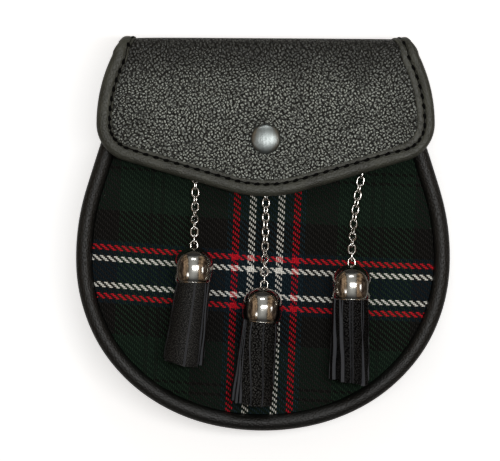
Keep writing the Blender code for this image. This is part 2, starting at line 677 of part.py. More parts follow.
def tassel_cap(side, hanger):
    """The domed metal cap, open below, with the wire eye on top that the chain's last link goes through."""
    turns = np.linspace(math.radians(12), math.pi / 2, 5)
    dome = [(CAP_RADIUS * math.sin(a), -CAP_RADIUS * (1 - math.cos(a))) for a in turns]
    inner_radius = CAP_RADIUS - CAP_WALL
    inner_turns = np.linspace(math.radians(25), math.pi / 2, 2)
    hollow = [(inner_radius * math.sin(a), -CAP_RADIUS + inner_radius * math.cos(a)) for a in inner_turns]
    profile = [(CAP_RIM_RADIUS, -CAP_HEIGHT), *dome[::-1]]
    inside = [(CAP_RIM_RADIUS - CAP_WALL, -CAP_HEIGHT), *hollow[::-1]]
    shell = moved(turned(profile[::-1] + inside), ALONG_Y)
    eye = moved(link_shape(), Matrix.Translation((0, EYE_HEIGHT, 0)))
    return fuse(f"tassel_cap_{side}", [shell, eye], "chrome", hanger)


def tassel_ring(row, sweep, turns, reach=0.0):
    """Points round a tassel at one row of its profile, reach inside its outer face, swept sideways and drooping."""
    below, half_width, half_height, droop = np.array(row) * MM
    aside = math.tan(math.radians(sweep)) * max(0.0, below - CAP_HEIGHT)
    across = (half_width - reach) * np.sin(turns) - aside
    up = (half_height - reach) * np.cos(turns) - droop
    return np.column_stack([across, np.full(len(turns), -below), up])


def tassel_strips(side, sweep, hanger):
    """The strips of a tassel, fused at the rolled head that the cap grips."""
    around = 2 * np.pi * np.arange(10) / 10
    shapes = [loft([tassel_ring(row, sweep, around) for row in CORE_PROFILE])]
    half_turn = math.pi / STRIP_COUNT * STRIP_FILL
    corners = np.array([-1, 1, 1, -1]) * half_turn
    reach = np.array([0.0, 0.0, STRIP_THICKNESS, STRIP_THICKNESS])
    for number in range(STRIP_COUNT):
        turns = corners + 2 * math.pi * (number + 0.5) / STRIP_COUNT
        shapes.append(loft([tassel_ring(row, sweep, turns, reach) for row in STRIP_PROFILE]))
    return fuse(f"tassel_strips_{side}", shapes, "strip_leather", hanger)


def main():
    clear_scene()
    back_panel()
    edge_roll("back_binding", BACK_ROLL_Z, BACK_ROLL_TOP_Y)
    gusset()
    edge_roll("front_binding", FRONT_ROLL_Z, MOUTH_Y)
    front_panel()
    flap_sheet()
    flap_binding()
    press_stud()
    for side, place in (("left", -LOOP_X), ("right", LOOP_X)):
        belt_loop(f"belt_loop_{side}", place)
    for side, tassel in TASSELS.items():
        staple(side, tassel)
        chain(side, tassel)
        hanger = add_empty(f"tassel_{side}", tassel_frame(tassel))
        tassel_cap(side, hanger)
        tassel_strips(side, tassel["sweep"], hanger)


main()
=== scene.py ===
"""Finish of a day sporran that lies on its back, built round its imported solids.

Metres, written as millimetres times MM. +Z is up from the floor, +Y points to the flap's fold and +X to
the right when looking down at the front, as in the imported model. Sizes that the solids also have are
repeated here. Every new piece is a surface worked out on a grid, or a profile carried along a path.
"""

from __future__ import annotations

import logging
import math
from collections.abc import Callable, Iterable, Sequence
from dataclasses import dataclass, field
from enum import Enum
from functools import cache

import bpy
import numpy as np
from mathutils import Matrix


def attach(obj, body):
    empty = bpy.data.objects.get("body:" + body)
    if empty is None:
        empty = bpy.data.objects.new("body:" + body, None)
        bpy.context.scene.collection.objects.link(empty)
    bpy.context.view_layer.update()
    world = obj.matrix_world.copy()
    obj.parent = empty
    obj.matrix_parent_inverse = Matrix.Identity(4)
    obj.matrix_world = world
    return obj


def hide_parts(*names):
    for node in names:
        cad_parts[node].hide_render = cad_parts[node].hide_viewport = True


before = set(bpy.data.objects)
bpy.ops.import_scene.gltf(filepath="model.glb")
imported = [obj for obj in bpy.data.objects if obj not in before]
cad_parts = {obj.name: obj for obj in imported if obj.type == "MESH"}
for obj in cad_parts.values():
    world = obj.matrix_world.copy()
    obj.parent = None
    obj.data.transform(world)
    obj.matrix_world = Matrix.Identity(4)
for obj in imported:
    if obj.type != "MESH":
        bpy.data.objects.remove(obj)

MM = 0.001
GAP = 0.3 * MM
BODY = "root"
SURFACE_MAP = "surface"  # each piece's own UV map, in mm along and across its surface

Array = np.ndarray
Colour = tuple[float, float, float]
Socket = bpy.types.NodeSocket
Value = float | Socket | tuple

log = logging.getLogger("sporran")


# ---------------------------------------------------------------- shapes worked out on grids


def smoothstep(t: Array) -> Array:
    """0 below 0, 1 above 1, and a smooth S between: t squared times (3 less 2 t)."""
    t = np.clip(t, 0.0, 1.0)
    return t * t * (3 - 2 * t)


def unit(vectors: Array) -> Array:
    """Each vector divided by its own length."""
    return vectors / np.maximum(np.linalg.norm(vectors, axis=-1, keepdims=True), 1e-12)


def travel(points: Array) -> Array:
    """Distance along a line of points, from its first."""
    return np.concatenate([[0.0], np.cumsum(np.linalg.norm(np.diff(points, axis=0), axis=1))])


def evenly(points: Array, count: int, *others: Array) -> list[Array]:
    """Respace a line of points evenly along its length.

    Args:
        points: The line's points, one a row.
        count: How many points it gets.
        others: Values that go with the points, respaced alike.

    Returns:
        The respaced points, then each of the others.
    """
    along = travel(points)
    stops = np.linspace(0.0, along[-1], count)
    return [np.stack([np.interp(stops, along, column) for column in values.T], 1) for values in (points, *others)]


def ripple(places: Array, lengths: Sequence[float], seed: int) -> Array:
    """A gentle unevenness between about -1 and 1: the mean of sine waves of the given lengths, with seeded phases.

    Args:
        places: Distances along the surface, in metres.
        lengths: Wavelengths, in metres.
        seed: Picks the phases.

    Returns:
        The unevenness at each place.
    """
    phases = np.random.default_rng(seed).uniform(0, 2 * np.pi, len(lengths))
    waves = [np.sin(2 * np.pi * places / length + phase) for length, phase in zip(lengths, phases)]
    return sum(waves) / len(waves)


@dataclass
class Shape:
    """A surface in the making.

    Attributes:
        points: One point a row, in metres.
        faces: Blocks of faces with equal numbers of corners, as point numbers.
        maps: For each block, the map's coordinates at every corner, in mm.
        finishes: For each block, the number of its material on the piece.
    """

    points: Array
    faces: list[Array]
    maps: list[Array]
    finishes: list[int]

    def moved(self, offset: Array) -> Shape:
        """The same shape, with an offset added to its points."""
        return Shape(self.points + offset, self.faces, self.maps, self.finishes)

    def placed(self, matrix: Array) -> Shape:
        """The same shape, placed by a 4 by 4 matrix."""
        return Shape(self.points @ matrix[:3, :3].T + matrix[:3, 3], self.faces, self.maps, self.finishes)

    def volume(self) -> float:
        """Signed volume, summed over fans of triangles; it is negative where the faces point inwards."""
        total = 0.0
        middle = self.points.mean(0)
        for block in self.faces:
            corners = self.points[block] - middle
            for k in range(1, block.shape[1] - 1):
                total += float((corners[:, 0] * np.cross(corners[:, k], corners[:, k + 1])).sum()) / 6
        return total

    def outward(self) -> Shape:
        """The same shape with its faces turned over if they point inwards."""
        if self.volume() >= 0:
            return self
        return Shape(self.points, [b[:, ::-1] for b in self.faces], [m[:, ::-1] for m in self.maps], self.finishes)


def joined(shapes: Iterable[Shape]) -> Shape:
    """Several shapes as one, each keeping its own points."""
    points, faces, maps, finishes, start = [], [], [], [], 0
    for shape in shapes:
        points.append(shape.points)
        faces += [block + start for block in shape.faces]
        maps += shape.maps
        finishes += shape.finishes
        start += len(shape.points)
    return Shape(np.concatenate(points), faces, maps, finishes)


def repeated(shape: Shape, origins: Array, axes: Array) -> Shape:
    """Copies of a small shape: each point is the copy's origin plus its coordinates times the copy's three axes.

    Args:
        shape: The shape, in its own coordinates.
        origins: One origin a copy, (n, 3).
        axes: The copy's X, Y and Z axes as rows, (n, 3, 3).

    Returns:
        All the copies as one shape.
    """
    count, size = len(origins), len(shape.points)
    points = origins[:, None] + np.einsum("pk,nkd->npd", shape.points, axes)
    starts = (np.arange(count) * size)[:, None, None]
    faces = [(block[None] + starts).reshape(-1, block.shape[1]) for block in shape.faces]
    maps = [np.tile(block, (count, 1, 1)) for block in shape.maps]
    return Shape(points.reshape(-1, 3), faces, maps, list(shape.finishes))


def skin(
    rings: Array,
    around: bool = True,
    along: bool = False,
    capped: bool = True,
    surface: Array | None = None,
    finish: int = 0,
) -> Shape:
    """A skin over rows of points: each quad joins two neighbours of one row to the same two of the next.

    Args:
        rings: Points as (rows, places, 3).
        around: Whether each row closes on itself.
        along: Whether the last row joins the first.
        capped: Whether an open run of closed rows gets a face at each end.
        surface: Map coordinates of each point, in mm; without it, distances along and around are used.
        finish: Number of the material.

    Returns:
        The skin, with its faces as the rows run.
    """
    rows, places = rings.shape[:2]
    i, j = np.meshgrid(np.arange(rows - (not along)), np.arange(places - (not around)), indexing="ij")
    i, j = i.ravel(), j.ravel()
    corners = [(i, j), (i, j + 1), (i + 1, j + 1), (i + 1, j)]
    faces = np.stack([(a % rows) * places + b % places for a, b in corners], 1)
    if surface is None:
        wide = np.concatenate([rings, rings[:, :1]], 1)
        step = np.linalg.norm(np.diff(wide, axis=1), axis=2).mean(0)
        across = np.concatenate([[0.0], np.cumsum(step)]) / MM
        deep = np.concatenate([rings, rings[:1]], 0)
        down = np.concatenate([[0.0], np.cumsum(np.linalg.norm(np.diff(deep, axis=0), axis=2).mean(1))]) / MM
        maps = np.stack([np.stack([down[a], across[b]], 1) for a, b in corners], 1)
    else:
        maps = np.stack([surface[a % rows, b % places] for a, b in corners], 1)
    blocks, block_maps, finishes = [faces], [maps], [finish]
    if around and capped and not along:
        ends = np.stack([np.arange(places)[::-1], (rows - 1) * places + np.arange(places)])
        flat = rings.reshape(-1, 3)[ends]
        blocks.append(ends)
        block_maps.append(flat[..., :2] / MM)
        finishes.append(finish)
    return Shape(rings.reshape(-1, 3), blocks, block_maps, finishes)


def turned(profile: Array, sides: int, closed: bool = False, finish: int = 0) -> Shape:
    """A profile turned about Z: x is radius times cosine, y is radius times sine, z is height.

    Args:
        profile: Points as (radius, height). An open profile starts and ends on or near the axis.
        sides: How many places round the axis.
        closed: Whether the profile is a loop, which makes a ring-like solid.
        finish: Number of the material.

    Returns:
        The solid of revolution, facing outwards.
    """
    angles = np.arange(sides) * 2 * np.pi / sides
    ring = np.stack([np.cos(angles), np.sin(angles), np.zeros(sides)], 1)
    rings = profile[:, 0, None, None] * ring + profile[:, 1, None, None] * np.array([0.0, 0.0, 1.0])
    return skin(rings, around=True, along=closed, finish=finish).outward()


def carried(profile: Array, origins: Array, across: Array, up: Array) -> Array:
    """Rings of a profile carried along a path: origin plus across times its first value plus up times its second."""
    profile = np.broadcast_to(profile, (len(origins), *profile.shape[-2:]))
    return origins[:, None] + profile[..., :1] * across[:, None] + profile[..., 1:] * up[:, None]


def circle(sides: int, radius: float = 1.0) -> Array:
    """Points round a circle, as (across, up)."""
    turns = np.arange(sides) * 2 * np.pi / sides
    return radius * np.stack([np.cos(turns), np.sin(turns)], 1)


def thread_stitch(length: float, radius: float, arch: float, sides: int = 6, rows: int = 7) -> Shape:
    """One stitch of thread lying along X: a tapered rod whose height follows an arch, with both ends in the leather.

    Args:
        length: From hole to hole.
        radius: Of the thread.
        arch: Height of the middle over the ends.
        sides: Faces round it.
        rows: Rings along it.

    Returns:
        The stitch, with Z out of the leather.
    """
    share = np.linspace(-1.0, 1.0, rows)
    middle = np.stack([share * length / 2, np.zeros(rows), arch * (1 - share**2) - 0.6 * arch], 1)
    swell = radius * np.sqrt(np.clip(1.05 - share**4, 0.05, 1.0))
    ring = circle(sides)[None] * swell[:, None, None] * np.array([1.25, 0.8])
    side, up = np.tile([0.0, 1.0, 0.0], (rows, 1)), np.tile([0.0, 0.0, 1.0], (rows, 1))
    return skin(carried(ring, middle, side, up)).outward()


def make_piece(
    name: str,
    shape: Shape,
    finishes: Sequence[bpy.types.Material],
    nodes: Sequence[str] = (),
    sharp: float = 40.0,
) -> bpy.types.Object:
    """Put a shape into an object at the origin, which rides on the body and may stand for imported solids.

    Args:
        name: The piece's name.
        shape: Its surface, in the row frame.
        finishes: Its materials, in the order of the shape's finish numbers.
        nodes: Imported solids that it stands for.
        sharp: Edges that turn by more than this many degrees are shaded as edges.

    Returns:
        The new object.
    """
    mesh = bpy.data.meshes.new(name)
    corners = np.concatenate([block.ravel() for block in shape.faces]).astype(np.int32)
    sizes = np.concatenate([np.full(len(block), block.shape[1]) for block in shape.faces])
    numbers = np.concatenate([np.full(len(b), n) for b, n in zip(shape.faces, shape.finishes)]).astype(np.int32)
    mesh.vertices.add(len(shape.points))
    mesh.vertices.foreach_set("co", shape.points.astype(np.float32).ravel())
    mesh.loops.add(len(corners))
    mesh.loops.foreach_set("vertex_index", corners)
    mesh.polygons.add(len(sizes))
    mesh.polygons.foreach_set("loop_start", np.concatenate([[0], np.cumsum(sizes)[:-1]]).astype(np.int32))
    mesh.polygons.foreach_set("material_index", numbers)
    layer = mesh.uv_layers.new(name=SURFACE_MAP)
    layer.uv.foreach_set("vector", np.concatenate([m.reshape(-1, 2) for m in shape.maps]).astype(np.float32).ravel())
    mesh.update(calc_edges=True)
    mesh.validate()
    mesh.shade_smooth()
    mesh.set_sharp_from_angle(angle=math.radians(sharp))
    for finish in finishes:
        mesh.materials.append(finish)
    piece = bpy.data.objects.new(name, mesh)
    bpy.context.scene.collection.objects.link(piece)
    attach(piece, BODY)
    if nodes:
        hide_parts(*nodes)
    log.info("%s: %d faces", name, len(sizes))
    return piece


# ---------------------------------------------------------------- shader nodes


@dataclass
class NodeSheet:
    """Adds shader nodes to one tree and joins them.

    Attributes:
        tree: The material's or group's tree.
        count: How many nodes were added, which sets where the next one is drawn.
    """

    tree: bpy.types.NodeTree
    count: int = 0

    def feed(self, socket: Socket, value: Value) -> None:
        """Link a socket to another, or set its own value."""
        if isinstance(value, bpy.types.NodeSocket):
            self.tree.links.new(value, socket)
        else:
            socket.default_value = (*value, 1.0) if socket.type == "RGBA" and len(value) == 3 else value

    def node(self, kind: str, inputs: dict[str | int, Value] | None = None, **settings: object) -> bpy.types.Node:
        """Add a node.

        Args:
            kind: Its type.
            inputs: Values or sockets for its inputs, by name or number.
            settings: Its properties.

        Returns:
            The node.
        """
        made = self.tree.nodes.new(kind)
        made.location = (220 * (self.count % 12), -260 * (self.count // 12))
        self.count += 1
        for key, value in settings.items():
            setattr(made, key, value)
        for key, value in (inputs or {}).items():
            self.feed(made.inputs[key], value)
        return made

    def math(self, operation: str, *values: Value, clamp: bool = False) -> Socket:
        """One step of arithmetic on values or sockets."""
        made = self.node("ShaderNodeMath", operation=operation, use_clamp=clamp)
        for number, value in enumerate(values):
            self.feed(made.inputs[number], value)
        return made.outputs[0]

    def remap(self, value: Value, low: float, high: float, to_low: float = 0.0, to_high: float = 1.0) -> Socket:
        """Carry a value from one range to another along a smooth S, held at the ends."""
        made = self.node("ShaderNodeMapRange", {0: value, 1: low, 2: high, 3: to_low, 4: to_high})
        made.interpolation_type = "SMOOTHSTEP"
        return made.outputs[0]

    def blend(self, share: Value, first: Value, second: Value, kind: str = "MIX") -> Socket:
        """Mix two colours by a share."""
        made = self.node("ShaderNodeMix", data_type="RGBA", blend_type=kind)
        self.feed(made.inputs[0], share)
        self.feed(made.inputs[6], first)
        self.feed(made.inputs[7], second)
        return made.outputs[2]

    def vector(self, operation: str, *values: Value) -> Socket:
        """One step of vector arithmetic."""
        made = self.node("ShaderNodeVectorMath", operation=operation)
        for number, value in enumerate(values):
            self.feed(made.inputs["Scale" if operation == "SCALE" and number == 1 else number], value)
        return made.outputs[0]

    def noise(self, vector: Value, scale: Value, detail: float = 2.0, roughness: float = 0.5) -> bpy.types.Node:
        """Add a noise texture."""
        inputs = {"Vector": vector, "Scale": scale, "Detail": detail, "Roughness": roughness}
        return self.node("ShaderNodeTexNoise", inputs)

    def cells(self, vector: Value, scale: Value, feature: str = "F1", randomness: float = 1.0, deep: bool = False) -> bpy.types.Node:
        """Add a texture of irregular cells, flat ones on the first two coordinates or deep ones on all three."""
        made = self.node("ShaderNodeTexVoronoi", feature=feature, voronoi_dimensions="3D" if deep else "2D")
        for key, value in (("Vector", vector), ("Scale", scale), ("Randomness", randomness)):
            self.feed(made.inputs[key], value)
        return made


class Effect:
    """A shader node group that several finishes place, built the first time that it is used.

    Attributes:
        name: The group's name.
        takes: Its inputs: name, then kind of socket and usual value.
        gives: Its outputs: name, then kind of socket.
    """

    name: str = ""
    takes: dict[str, tuple[str, float | tuple]] = {}
    gives: dict[str, str] = {}

    def draw(self, sheet: NodeSheet, given: dict[str, Socket]) -> dict[str, Socket]:
        """Add the group's own nodes.

        Args:
            sheet: Where they go.
            given: The group's inputs.

        Returns:
            What goes to each output.
        """
        raise NotImplementedError

    def group(self) -> bpy.types.NodeTree:
        """The node group, made with new sockets if it isn't there yet."""
        found = bpy.data.node_groups.get(self.name)
        if found:
            return found
        tree = bpy.data.node_groups.new(self.name, "ShaderNodeTree")
        for name, (kind, usual) in self.takes.items():
            socket = tree.interface.new_socket(name, in_out="INPUT", socket_type=f"NodeSocket{kind}")
            socket.default_value = usual
        for name, kind in self.gives.items():
            tree.interface.new_socket(name, in_out="OUTPUT", socket_type=f"NodeSocket{kind}")
        sheet = NodeSheet(tree)
        entry, leave = sheet.node("NodeGroupInput"), tree.nodes.new("NodeGroupOutput")
        leave.location = (2900, 0)
        for name, socket in self.draw(sheet, {s.name: s for s in entry.outputs if s.name}).items():
            sheet.feed(leave.inputs[name], socket)
        return tree

    def place(self, sheet: NodeSheet, **values: Value) -> dict[str, Socket]:
        """Put the group into a material with its own values, and give its outputs by name."""
        made = sheet.node("ShaderNodeGroup", node_tree=self.group())
        for key, value in values.items():
            sheet.feed(made.inputs[key.replace("_", " ").capitalize()], value)
        return {s.name: s for s in made.outputs}


class PebbleGrain(Effect):
    """Rounded pebbles of shrunken hide, in cells of two sizes pushed about by noise."""

    name = "pebble_grain"
    takes = {"Vector": ("Vector", (0.0, 0.0, 0.0)), "Cell": ("Float", 1.8), "Uneven": ("Float", 0.42)}
    gives = {"Height": "Float", "Crease": "Float", "Shade": "Float"}

    def draw(self, sheet: NodeSheet, given: dict[str, Socket]) -> dict[str, Socket]:
        """A pebble is one less the squared distance to its cell's middle; a crease lies where two cells meet."""
        centred = (0.5, 0.5, 0.5)
        place = sheet.node("ShaderNodeVectorRotate", {"Vector": given["Vector"], "Angle": 0.6}).outputs[0]
        push = sheet.noise(place, 0.5, 2.0).outputs["Color"]
        push = sheet.vector("SCALE", sheet.vector("SUBTRACT", push, centred), given["Uneven"])
        swirl = sheet.noise(place, 0.07, 0.0).outputs["Color"]
        swirl = sheet.vector("SCALE", sheet.vector("SUBTRACT", swirl, centred), 3.2)
        where = sheet.vector("ADD", sheet.vector("ADD", place, push), swirl)
        scale = sheet.math("DIVIDE", 1.0, given["Cell"])
        big = sheet.cells(where, scale, randomness=0.76)
        edge = sheet.cells(where, scale, "DISTANCE_TO_EDGE", 0.76)
        small = sheet.cells(where, sheet.math("MULTIPLY", scale, 1.4), randomness=0.8)
        reach = sheet.math("MULTIPLY", big.outputs["Distance"], 1.55, clamp=True)
        dome = sheet.math("SUBTRACT", 1.0, sheet.math("MULTIPLY", reach, reach))
        bank = sheet.remap(edge.outputs["Distance"], 0.0, 0.17)
        pip = sheet.remap(small.outputs["Distance"], 0.1, 0.6, 1.0, 0.0)
        tone = sheet.node("ShaderNodeSeparateColor", {0: big.outputs["Color"]}).outputs[0]
        crumb = sheet.noise(place, 1.7, 2.0, 1.0).outputs[0]
        height = sheet.math("MULTIPLY_ADD", dome, 0.6, sheet.math("MULTIPLY", bank, 0.28))
        height = sheet.math("MULTIPLY_ADD", pip, 0.2, height)
        height = sheet.math("MULTIPLY_ADD", crumb, 0.35, height)
        height = sheet.math("MULTIPLY", height, sheet.math("MULTIPLY_ADD", tone, 0.3, 0.8))
        low = sheet.math("MULTIPLY_ADD", dome, 0.42, sheet.math("MULTIPLY", bank, 0.14))
        low = sheet.math("MULTIPLY_ADD", pip, 0.42, low)
        low = sheet.math("MULTIPLY_ADD", crumb, 1.6, low)
        crease = sheet.remap(low, 0.9, 1.85, 1.0, 0.0)
        return {"Height": height, "Crease": crease, "Shade": tone}


class HidePores(Effect):
    """Fine pores and slow mottling of smooth leather, with a few scuffs."""

    name = "hide_pores"
    takes = {"Vector": ("Vector", (0.0, 0.0, 0.0)), "Pore size": ("Float", 0.5)}
    gives = {"Height": "Float", "Mottle": "Float", "Scuff": "Float"}

    def draw(self, sheet: NodeSheet, given: dict[str, Socket]) -> dict[str, Socket]:
        """Pores are small cells; mottle is slow noise; a scuff is where stretched noise passes a limit."""
        scale = sheet.math("DIVIDE", 1.0, given["Pore size"])
        pores = sheet.cells(given["Vector"], scale).outputs["Distance"]
        fine = sheet.noise(given["Vector"], sheet.math("MULTIPLY", scale, 0.7), 3.0, 0.6).outputs[0]
        height = sheet.math("MULTIPLY_ADD", sheet.remap(pores, 0.0, 0.5), 0.4, sheet.math("MULTIPLY", fine, 0.6))
        mottle = sheet.noise(given["Vector"], 0.09, 3.0).outputs[0]
        drawn_out = sheet.vector("MULTIPLY", given["Vector"], (0.12, 0.9, 0.5))
        scuff = sheet.remap(sheet.noise(drawn_out, 0.8, 4.0, 0.65).outputs[0], 0.56, 0.72)
        return {"Height": height, "Mottle": mottle, "Scuff": scuff}


class Lint(Effect):
    """Sparse pale specks and short fibres that lie on dark cloth and leather."""

    name = "lint_specks"
    takes = {"Vector": ("Vector", (0.0, 0.0, 0.0)), "Amount": ("Float", 0.5)}
    gives = {"Mask": "Float"}

    def draw(self, sheet: NodeSheet, given: dict[str, Socket]) -> dict[str, Socket]:
        """A speck is the middle of a cell whose own colour passes a limit set by the amount."""
        where = sheet.vector("ADD", given["Vector"], sheet.noise(given["Vector"], 0.6, 2.0).outputs["Color"])
        cells = sheet.cells(where, 0.3, deep=True)
        chosen = sheet.node("ShaderNodeSeparateColor", {0: cells.outputs["Color"]}).outputs[1]
        limit = sheet.math("SUBTRACT", 1.0, sheet.math("MULTIPLY", given["Amount"], 0.2))
        near = sheet.remap(cells.outputs["Distance"], 0.05, 0.1, 1.0, 0.0)
        return {"Mask": sheet.math("MULTIPLY", near, sheet.math("GREATER_THAN", chosen, limit))}


class Brushing(Effect):
    """Fine streaks left by brushing or polishing metal."""

    name = "brushed_streaks"
    takes = {"Vector": ("Vector", (0.0, 0.0, 0.0)), "Stretch": ("Vector", (9.0, 0.7, 1.0))}
    gives = {"Streak": "Float", "Cloud": "Float"}

    def draw(self, sheet: NodeSheet, given: dict[str, Socket]) -> dict[str, Socket]:
        """Noise drawn out along one direction, and slow noise for handling marks."""
        streak = sheet.noise(sheet.vector("MULTIPLY", given["Vector"], given["Stretch"]), 1.0, 3.0, 0.6).outputs[0]
        return {"Streak": streak, "Cloud": sheet.noise(given["Vector"], 0.35, 3.0).outputs[0]}


class TwillWeave(Effect):
    """A two-and-two twill: each yarn passes over two and under two, one step along in every row.

    Yarn i of the warp shows where (i + j) modulo 4 is under 2, and yarn j of the weft shows elsewhere.
    """

    name = "twill_weave"
    takes = {"Warp place": ("Float", 0.0), "Weft place": ("Float", 0.0)}
    gives = {"Warp shows": "Float", "Height": "Float"}

    def float_height(self, sheet: NodeSheet, across: Socket, along: Socket, narrow: float) -> Socket:
        """Height of one visible stretch of yarn: an arch across it, times a flatter arch along its two steps.

        Args:
            sheet: The group's nodes.
            across: Place across the yarn, from 0 to 1.
            along: Place along the stretch, from 0 to 1.
            narrow: Power of the arch across, which is larger for a thinner yarn.

        Returns:
            The height, from 0 to 1.
        """
        side = sheet.math("MULTIPLY_ADD", across, 2.0, -1.0)
        width = sheet.math("SUBTRACT", 1.0, sheet.math("MULTIPLY", side, side))
        end = sheet.math("MULTIPLY_ADD", along, 2.0, -1.0)
        length = sheet.math("SUBTRACT", 1.0, sheet.math("POWER", sheet.math("ABSOLUTE", end), 3.0))
        arch = sheet.math("POWER", sheet.math("MAXIMUM", width, 0.0), narrow)
        return sheet.math("MULTIPLY", arch, sheet.math("MULTIPLY_ADD", sheet.math("MAXIMUM", length, 0.0), 0.6, 0.4))

    def draw(self, sheet: NodeSheet, given: dict[str, Socket]) -> dict[str, Socket]:
        """The formula in the class's docstring, with each float's height."""
        u, v = given["Warp place"], given["Weft place"]
        i, j = sheet.math("FLOOR", u), sheet.math("FLOOR", v)
        step = sheet.math("FLOORED_MODULO", sheet.math("ADD", i, j), 4.0)
        warp_shows = sheet.math("LESS_THAN", step, 1.5)
        warp_along = sheet.math("DIVIDE", sheet.math("FLOORED_MODULO", sheet.math("ADD", i, v), 4.0), 2.0)
        weft_along = sheet.math("FLOORED_MODULO", sheet.math("ADD", u, j), 4.0)
        weft_along = sheet.math("MULTIPLY_ADD", weft_along, 0.5, -1.0)
        warp = self.float_height(sheet, sheet.math("SUBTRACT", u, i), warp_along, 2.3)
        weft = self.float_height(sheet, sheet.math("SUBTRACT", v, j), weft_along, 0.6)
        shown = sheet.math("MULTIPLY", warp, warp_shows)
        other = sheet.math("MULTIPLY", weft, sheet.math("SUBTRACT", 1.0, warp_shows))
        return {"Warp shows": warp_shows, "Height": sheet.math("ADD", shown, other)}


PEBBLES, PORES, LINT, BRUSHING, TWILL = PebbleGrain(), HidePores(), Lint(), Brushing(), TwillWeave()


@dataclass(frozen=True)
class Finish:
    """What every finish has: a name, and the shader's own unchanging values.

    Attributes:
        name: The material's name.
        metallic: 0 or 1.
        specular: Specular level.
    """

    name: str
    metallic: float = 0.0
    specular: float = 0.5

    def paint(self, sheet: NodeSheet, shader: bpy.types.Node) -> None:
        """Add the finish's nodes and link them to the shader.

        Args:
            sheet: The material's nodes.
            shader: Its Principled BSDF.
        """
        raise NotImplementedError

    @cache
    def material(self) -> bpy.types.Material:
        """The finish as a material, made once."""
        made = bpy.data.materials.new(self.name)
        made.use_nodes = True
        shader = made.node_tree.nodes["Principled BSDF"]
        shader.inputs["Metallic"].default_value = self.metallic
        shader.inputs["Specular IOR Level"].default_value = self.specular
        self.paint(NodeSheet(made.node_tree), shader)
        return made

    @staticmethod
    def surface(sheet: NodeSheet) -> Socket:
        """The piece's own map, in mm."""
        return sheet.node("ShaderNodeUVMap", uv_map=SURFACE_MAP).outputs[0]

    @staticmethod
    def place_mm(sheet: NodeSheet) -> Socket:
        """Object coordinates, in mm."""
        return sheet.vector("SCALE", sheet.node("ShaderNodeTexCoord").outputs["Object"], 1000.0)

    @staticmethod
    def relief(sheet: NodeSheet, shader: bpy.types.Node, height: Socket, depth: float, strength: float = 1.0) -> None:
        """Turn a height, whose full range is depth in metres, into the shader's normal."""
        bump = sheet.node("ShaderNodeBump", {"Height": height, "Distance": depth, "Strength": strength})
        sheet.feed(shader.inputs["Normal"], bump.outputs[0])


@dataclass(frozen=True)
class GrainedLeather(Finish):
    """Black leather with pebbles: a painted highlight on their tops, and dull creases darkened as painted shade.

    Attributes:
        top: Colour of the pebbles' tops.
        crease: Colour between them, near-black as painted shade.
        cell: Width of a pebble in mm.
        depth: Height of a pebble in metres.
        gloss: Roughness on the tops.
        trapped: How much of the sheen the creases lose.
        fold_shade_run: Distances along the map over which the painted shade near the fold gives way to the tops' full
            paleness, in mm.
    """

    top: Colour = (0.03, 0.03, 0.027)
    crease: Colour = (0.004, 0.004, 0.004)
    cell: float = 1.8
    depth: float = 0.35 * MM
    gloss: float = 0.36
    trapped: float = 0.95
    fold_shade_run: tuple[float, float] | None = None

    def paint(self, sheet: NodeSheet, shader: bpy.types.Node) -> None:
        """Pebble grain for relief, colour and roughness, with mottling, scuffs and lint over it.

        The creases are near-black, as painted shade, and count as metallic, which takes their sheen, as the light that
        they trap. The pebbles' crests get a painted highlight.
        """
        surface, place = self.surface(sheet), self.place_mm(sheet)
        grain = PEBBLES.place(sheet, vector=surface, cell=self.cell)
        pores = PORES.place(sheet, vector=surface, pore_size=0.35)
        # pale is the painted highlight on the pebbles' crests; dull is the rest of their tops
        pale, dull = (tuple(share * c for c in self.top) for share in (3.6, 0.7))
        painted_glint_share = sheet.remap(grain["Crease"], 0.0, 0.6, 1.0, 0.0)
        top = sheet.blend(sheet.math("MULTIPLY", painted_glint_share, sheet.remap(pores["Mottle"], 0.1, 0.55)), dull, pale)
        # painted shade: the tops darken towards the crease colour near the fold and towards the sides
        if self.fold_shade_run:
            top = sheet.blend(self.painted_fold_shade(sheet, surface), self.crease, top)
        # the creases get the near-black crease colour, as painted shade
        colour = sheet.blend(grain["Crease"], top, self.crease)
        lint = LINT.place(sheet, vector=place, amount=0.08)["Mask"]
        sheet.feed(shader.inputs["Base Color"], sheet.blend(lint, colour, (0.15, 0.145, 0.135)))
        rough = sheet.math("MULTIPLY_ADD", grain["Crease"], 0.35, self.gloss)
        rough = sheet.math("MULTIPLY_ADD", pores["Scuff"], 0.08, rough)
        sheet.feed(shader.inputs["Roughness"], rough)
        sheet.feed(shader.inputs["Metallic"], sheet.math("MULTIPLY", grain["Crease"], self.trapped))
        height = sheet.math("MULTIPLY_ADD", pores["Height"], 0.06, grain["Height"])
        self.relief(sheet, shader, height, self.depth)

    def painted_fold_shade(self, sheet: NodeSheet, surface: Socket) -> Socket:
        """Painted shade on the tops: the share of their paleness that they keep, more away from the fold and less
        towards the sides.
        """
        parts = sheet.node("ShaderNodeSeparateXYZ", {0: surface})
        slow = sheet.math("MULTIPLY_ADD", sheet.noise(surface, 0.05, 2.0).outputs[0], 16.0, -8.0)
        along = sheet.remap(sheet.math("ADD", parts.outputs[1], slow), *self.fold_shade_run, 0.15, 1.0)
        aside = sheet.remap(sheet.math("ADD", sheet.math("ABSOLUTE", parts.outputs[0]), slow), 52.0, 84.0, 1.0, 0.55)
        return sheet.math("MULTIPLY", along, aside)


